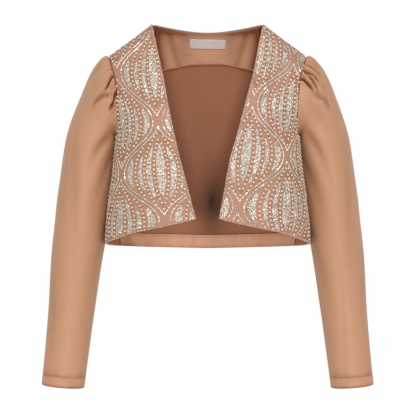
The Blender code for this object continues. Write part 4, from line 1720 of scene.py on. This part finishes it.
class JACKET_OT_hem_band(Operator):
    """Turn up the hem of the back"""

    bl_idname = "jacket.hem_band"
    bl_label = "Hem band"

    def execute(self, context):
        shares = np.linspace(0, 1, 90)
        hem = smooth(HEM, "drop", 90 + np.degrees(back_angle(shares, np.full(90, -1.0))))
        top = HEM_BAND_HEIGHT / (hem - ARMPIT_DROP) - 1
        levels = -1 + (top + 1) * np.linspace(0, 1, 12)[:, None]
        angle = back_angle(shares, levels)
        shift = np.where(shares == 0, 2 * SEAM_GAP, 0.0) + 0 * levels
        start = SATIN_WALL + FACING_GAP
        outer, inner = (
            mirrored(lambda side: on_torso(side, angle, levels, depth, shift))
            for depth in (start, start + FACING_WALL)
        )
        finishes = ["satin_wrong_side", "lit_hem_satin"]
        band = cloth_wall("hem_band_shell", outer, inner, finishes, shade_depths=band_shade(inner))
        out = unit(inner - outer)
        stitch_row("hem_stitches", inner[-2], out[-2], 1.6, 3.4)
        declare(band, "back_hem_band", (0.36, 0.03), flat_area(outer))
        return {"FINISHED"}


class JACKET_OT_label(Operator):
    """Sew in the plain woven label"""

    bl_idname = "jacket.label"
    bl_label = "Label"

    def execute(self, context):
        across = np.linspace(-LABEL_WIDTH / 2, LABEL_WIDTH / 2, 55)[None]
        down = np.linspace(LABEL_HEIGHT, 0, 15)[:, None]
        drop = LABEL_DROP + down + math.tan(math.radians(LABEL_TILT)) * across

        def wide(share):
            level = drop_level(share, drop)
            return torso_point(1, back_angle(share, level), level)[..., 0] > np.abs(across)

        share = between(wide, drop.shape, 0.6, 1.0)
        level = drop_level(share, drop)

        def layer(depth):
            left, right = (on_facing(side, share, level, depth) for side in (1, -1))
            return np.where((across >= 0)[..., None], left, right)

        start = SATIN_WALL + FACING_GAP + FACING_WALL + LABEL_GAP
        outer, inner = layer(start), layer(start + LABEL_WALL)
        label = cloth_wall("label_cloth", outer, inner, ["woven_label"])
        out = unit(inner - outer)
        for end, column in (("right", 1), ("left", -2)):
            line, outwards = inner[:, column], out[:, column]
            stitches = f"label_stitches_{end}"
            stitch_row(stitches, line, outwards, 1.5, 0.7, "label_thread")
        declare(label, "label", (0.054, 0.013), flat_area(outer))
        return {"FINISHED"}


class JACKET_OT_stage(Operator):
    """Set the floor, the light and the camera"""

    bl_idname = "jacket.stage"
    bl_label = "Stage"

    def execute(self, context):
        stage = context.scene.jacket_stage
        tree, shader = new_finish("floor_paint", 0.8)
        feed(tree, shader, {"Base Color": (0.86, 0.85, 0.84, 1)})
        bpy.ops.mesh.primitive_circle_add(
            vertices=96, radius=2.2, fill_type="NGON", location=(0, 0, -stage.floor_drop)
        )
        floor = context.object
        floor.name = "floor"
        floor.data.materials.append(bpy.data.materials["floor_paint"])
        self.light(context, stage)
        camera = bpy.data.cameras.new("camera")
        camera.lens = FILM_WIDTH * stage.camera_distance / stage.view_width
        camera.sensor_width = FILM_WIDTH
        camera.clip_end = 50.0
        holder = new_object("camera", camera)
        holder.location = (CAMERA_PLACE[0], -stage.camera_distance, CAMERA_PLACE[1])
        holder.rotation_euler = (math.pi / 2, 0, 0)
        context.scene.camera = holder
        context.scene.view_settings.view_transform = "Standard"
        return {"FINISHED"}

    def light(self, context, stage):
        """A white dome, dimmer from below, and two wide lamps."""
        world = bpy.data.worlds.new("studio")
        world.use_nodes = True
        context.scene.world = world
        tree = world.node_tree
        dome = tree.nodes["Background"]
        place = add_node(tree, "TexCoord", "Generated")
        rise = add_node(tree, "SeparateXYZ", "Z", {"Vector": place})
        limits = {"From Min": -1.0, "To Min": stage.dome * 0.5, "To Max": stage.dome}
        strength = add_node(tree, "MapRange", "Result", {"Value": rise, **limits})
        feed(tree, dome, {"Color": WHITE, "Strength": strength})
        seen = add_node(tree, "Background", "Background", {"Color": WHITE})
        path = add_node(tree, "LightPath", "Is Camera Ray")
        shaders = {"Fac": path, 1: dome.outputs["Background"], 2: seen}
        mix = add_node(tree, "MixShader", "Shader", shaders)
        feed(tree, tree.nodes["World Output"], {"Surface": mix})
        for name, power, size, place in (
            ("key_lamp", stage.key, 0.7, (0.4, -2.3, 1.3)),
            ("front_lamp", stage.fill, 4.5, (0.0, -3.0, -0.2)),
        ):
            lamp = bpy.data.lights.new(name, "AREA")
            lamp.energy, lamp.size = power, size
            holder = new_object(name, lamp)
            holder.location = place
            holder.rotation_mode = "QUATERNION"
            aim = Vector((0.0, 0.0, -0.25)) - Vector(place)
            holder.rotation_quaternion = aim.to_track_quat("-Z", "Y")


class JACKET_PT_panel(Panel):
    """Lists the pieces of the jacket"""

    bl_idname = "JACKET_PT_panel"
    bl_label = "Jacket"
    bl_space_type = "VIEW_3D"
    bl_region_type = "UI"
    bl_category = "Jacket"

    def draw(self, context):
        for group, _ in GROUPS:
            settings = getattr(context.scene, group)
            for key in settings.__annotations__:
                self.layout.prop(settings, key)
        for operator in OPERATORS:
            self.layout.operator(operator.bl_idname)


GROUPS = (
    ("jacket_cloth", JacketCloth),
    ("jacket_beads", JacketBeads),
    ("jacket_stage", JacketStage),
)
OPERATORS = (
    JACKET_OT_cloth_finishes,
    JACKET_OT_back_panel,
    JACKET_OT_front_panels,
    JACKET_OT_outline_beads,
    JACKET_OT_pearls,
    JACKET_OT_sequins,
    JACKET_OT_sleeves,
    JACKET_OT_cuffs,
    JACKET_OT_neck_edge,
    JACKET_OT_neck_facing,
    JACKET_OT_hem_band,
    JACKET_OT_label,
    JACKET_OT_stage,
)


def register():
    for name, group in GROUPS:
        bpy.utils.register_class(group)
        setattr(bpy.types.Scene, name, PointerProperty(type=group))
    for operator in OPERATORS:
        bpy.utils.register_class(operator)
    bpy.utils.register_class(JACKET_PT_panel)


def unregister():
    bpy.utils.unregister_class(JACKET_PT_panel)
    for operator in reversed(OPERATORS):
        bpy.utils.unregister_class(operator)
    for name, group in reversed(GROUPS):
        delattr(bpy.types.Scene, name)
        bpy.utils.unregister_class(group)


def main():
    register()
    for operator in OPERATORS:
        group, name = operator.bl_idname.split(".")
        getattr(getattr(bpy.ops, group), name)()


if __name__ == "__main__":
    main()
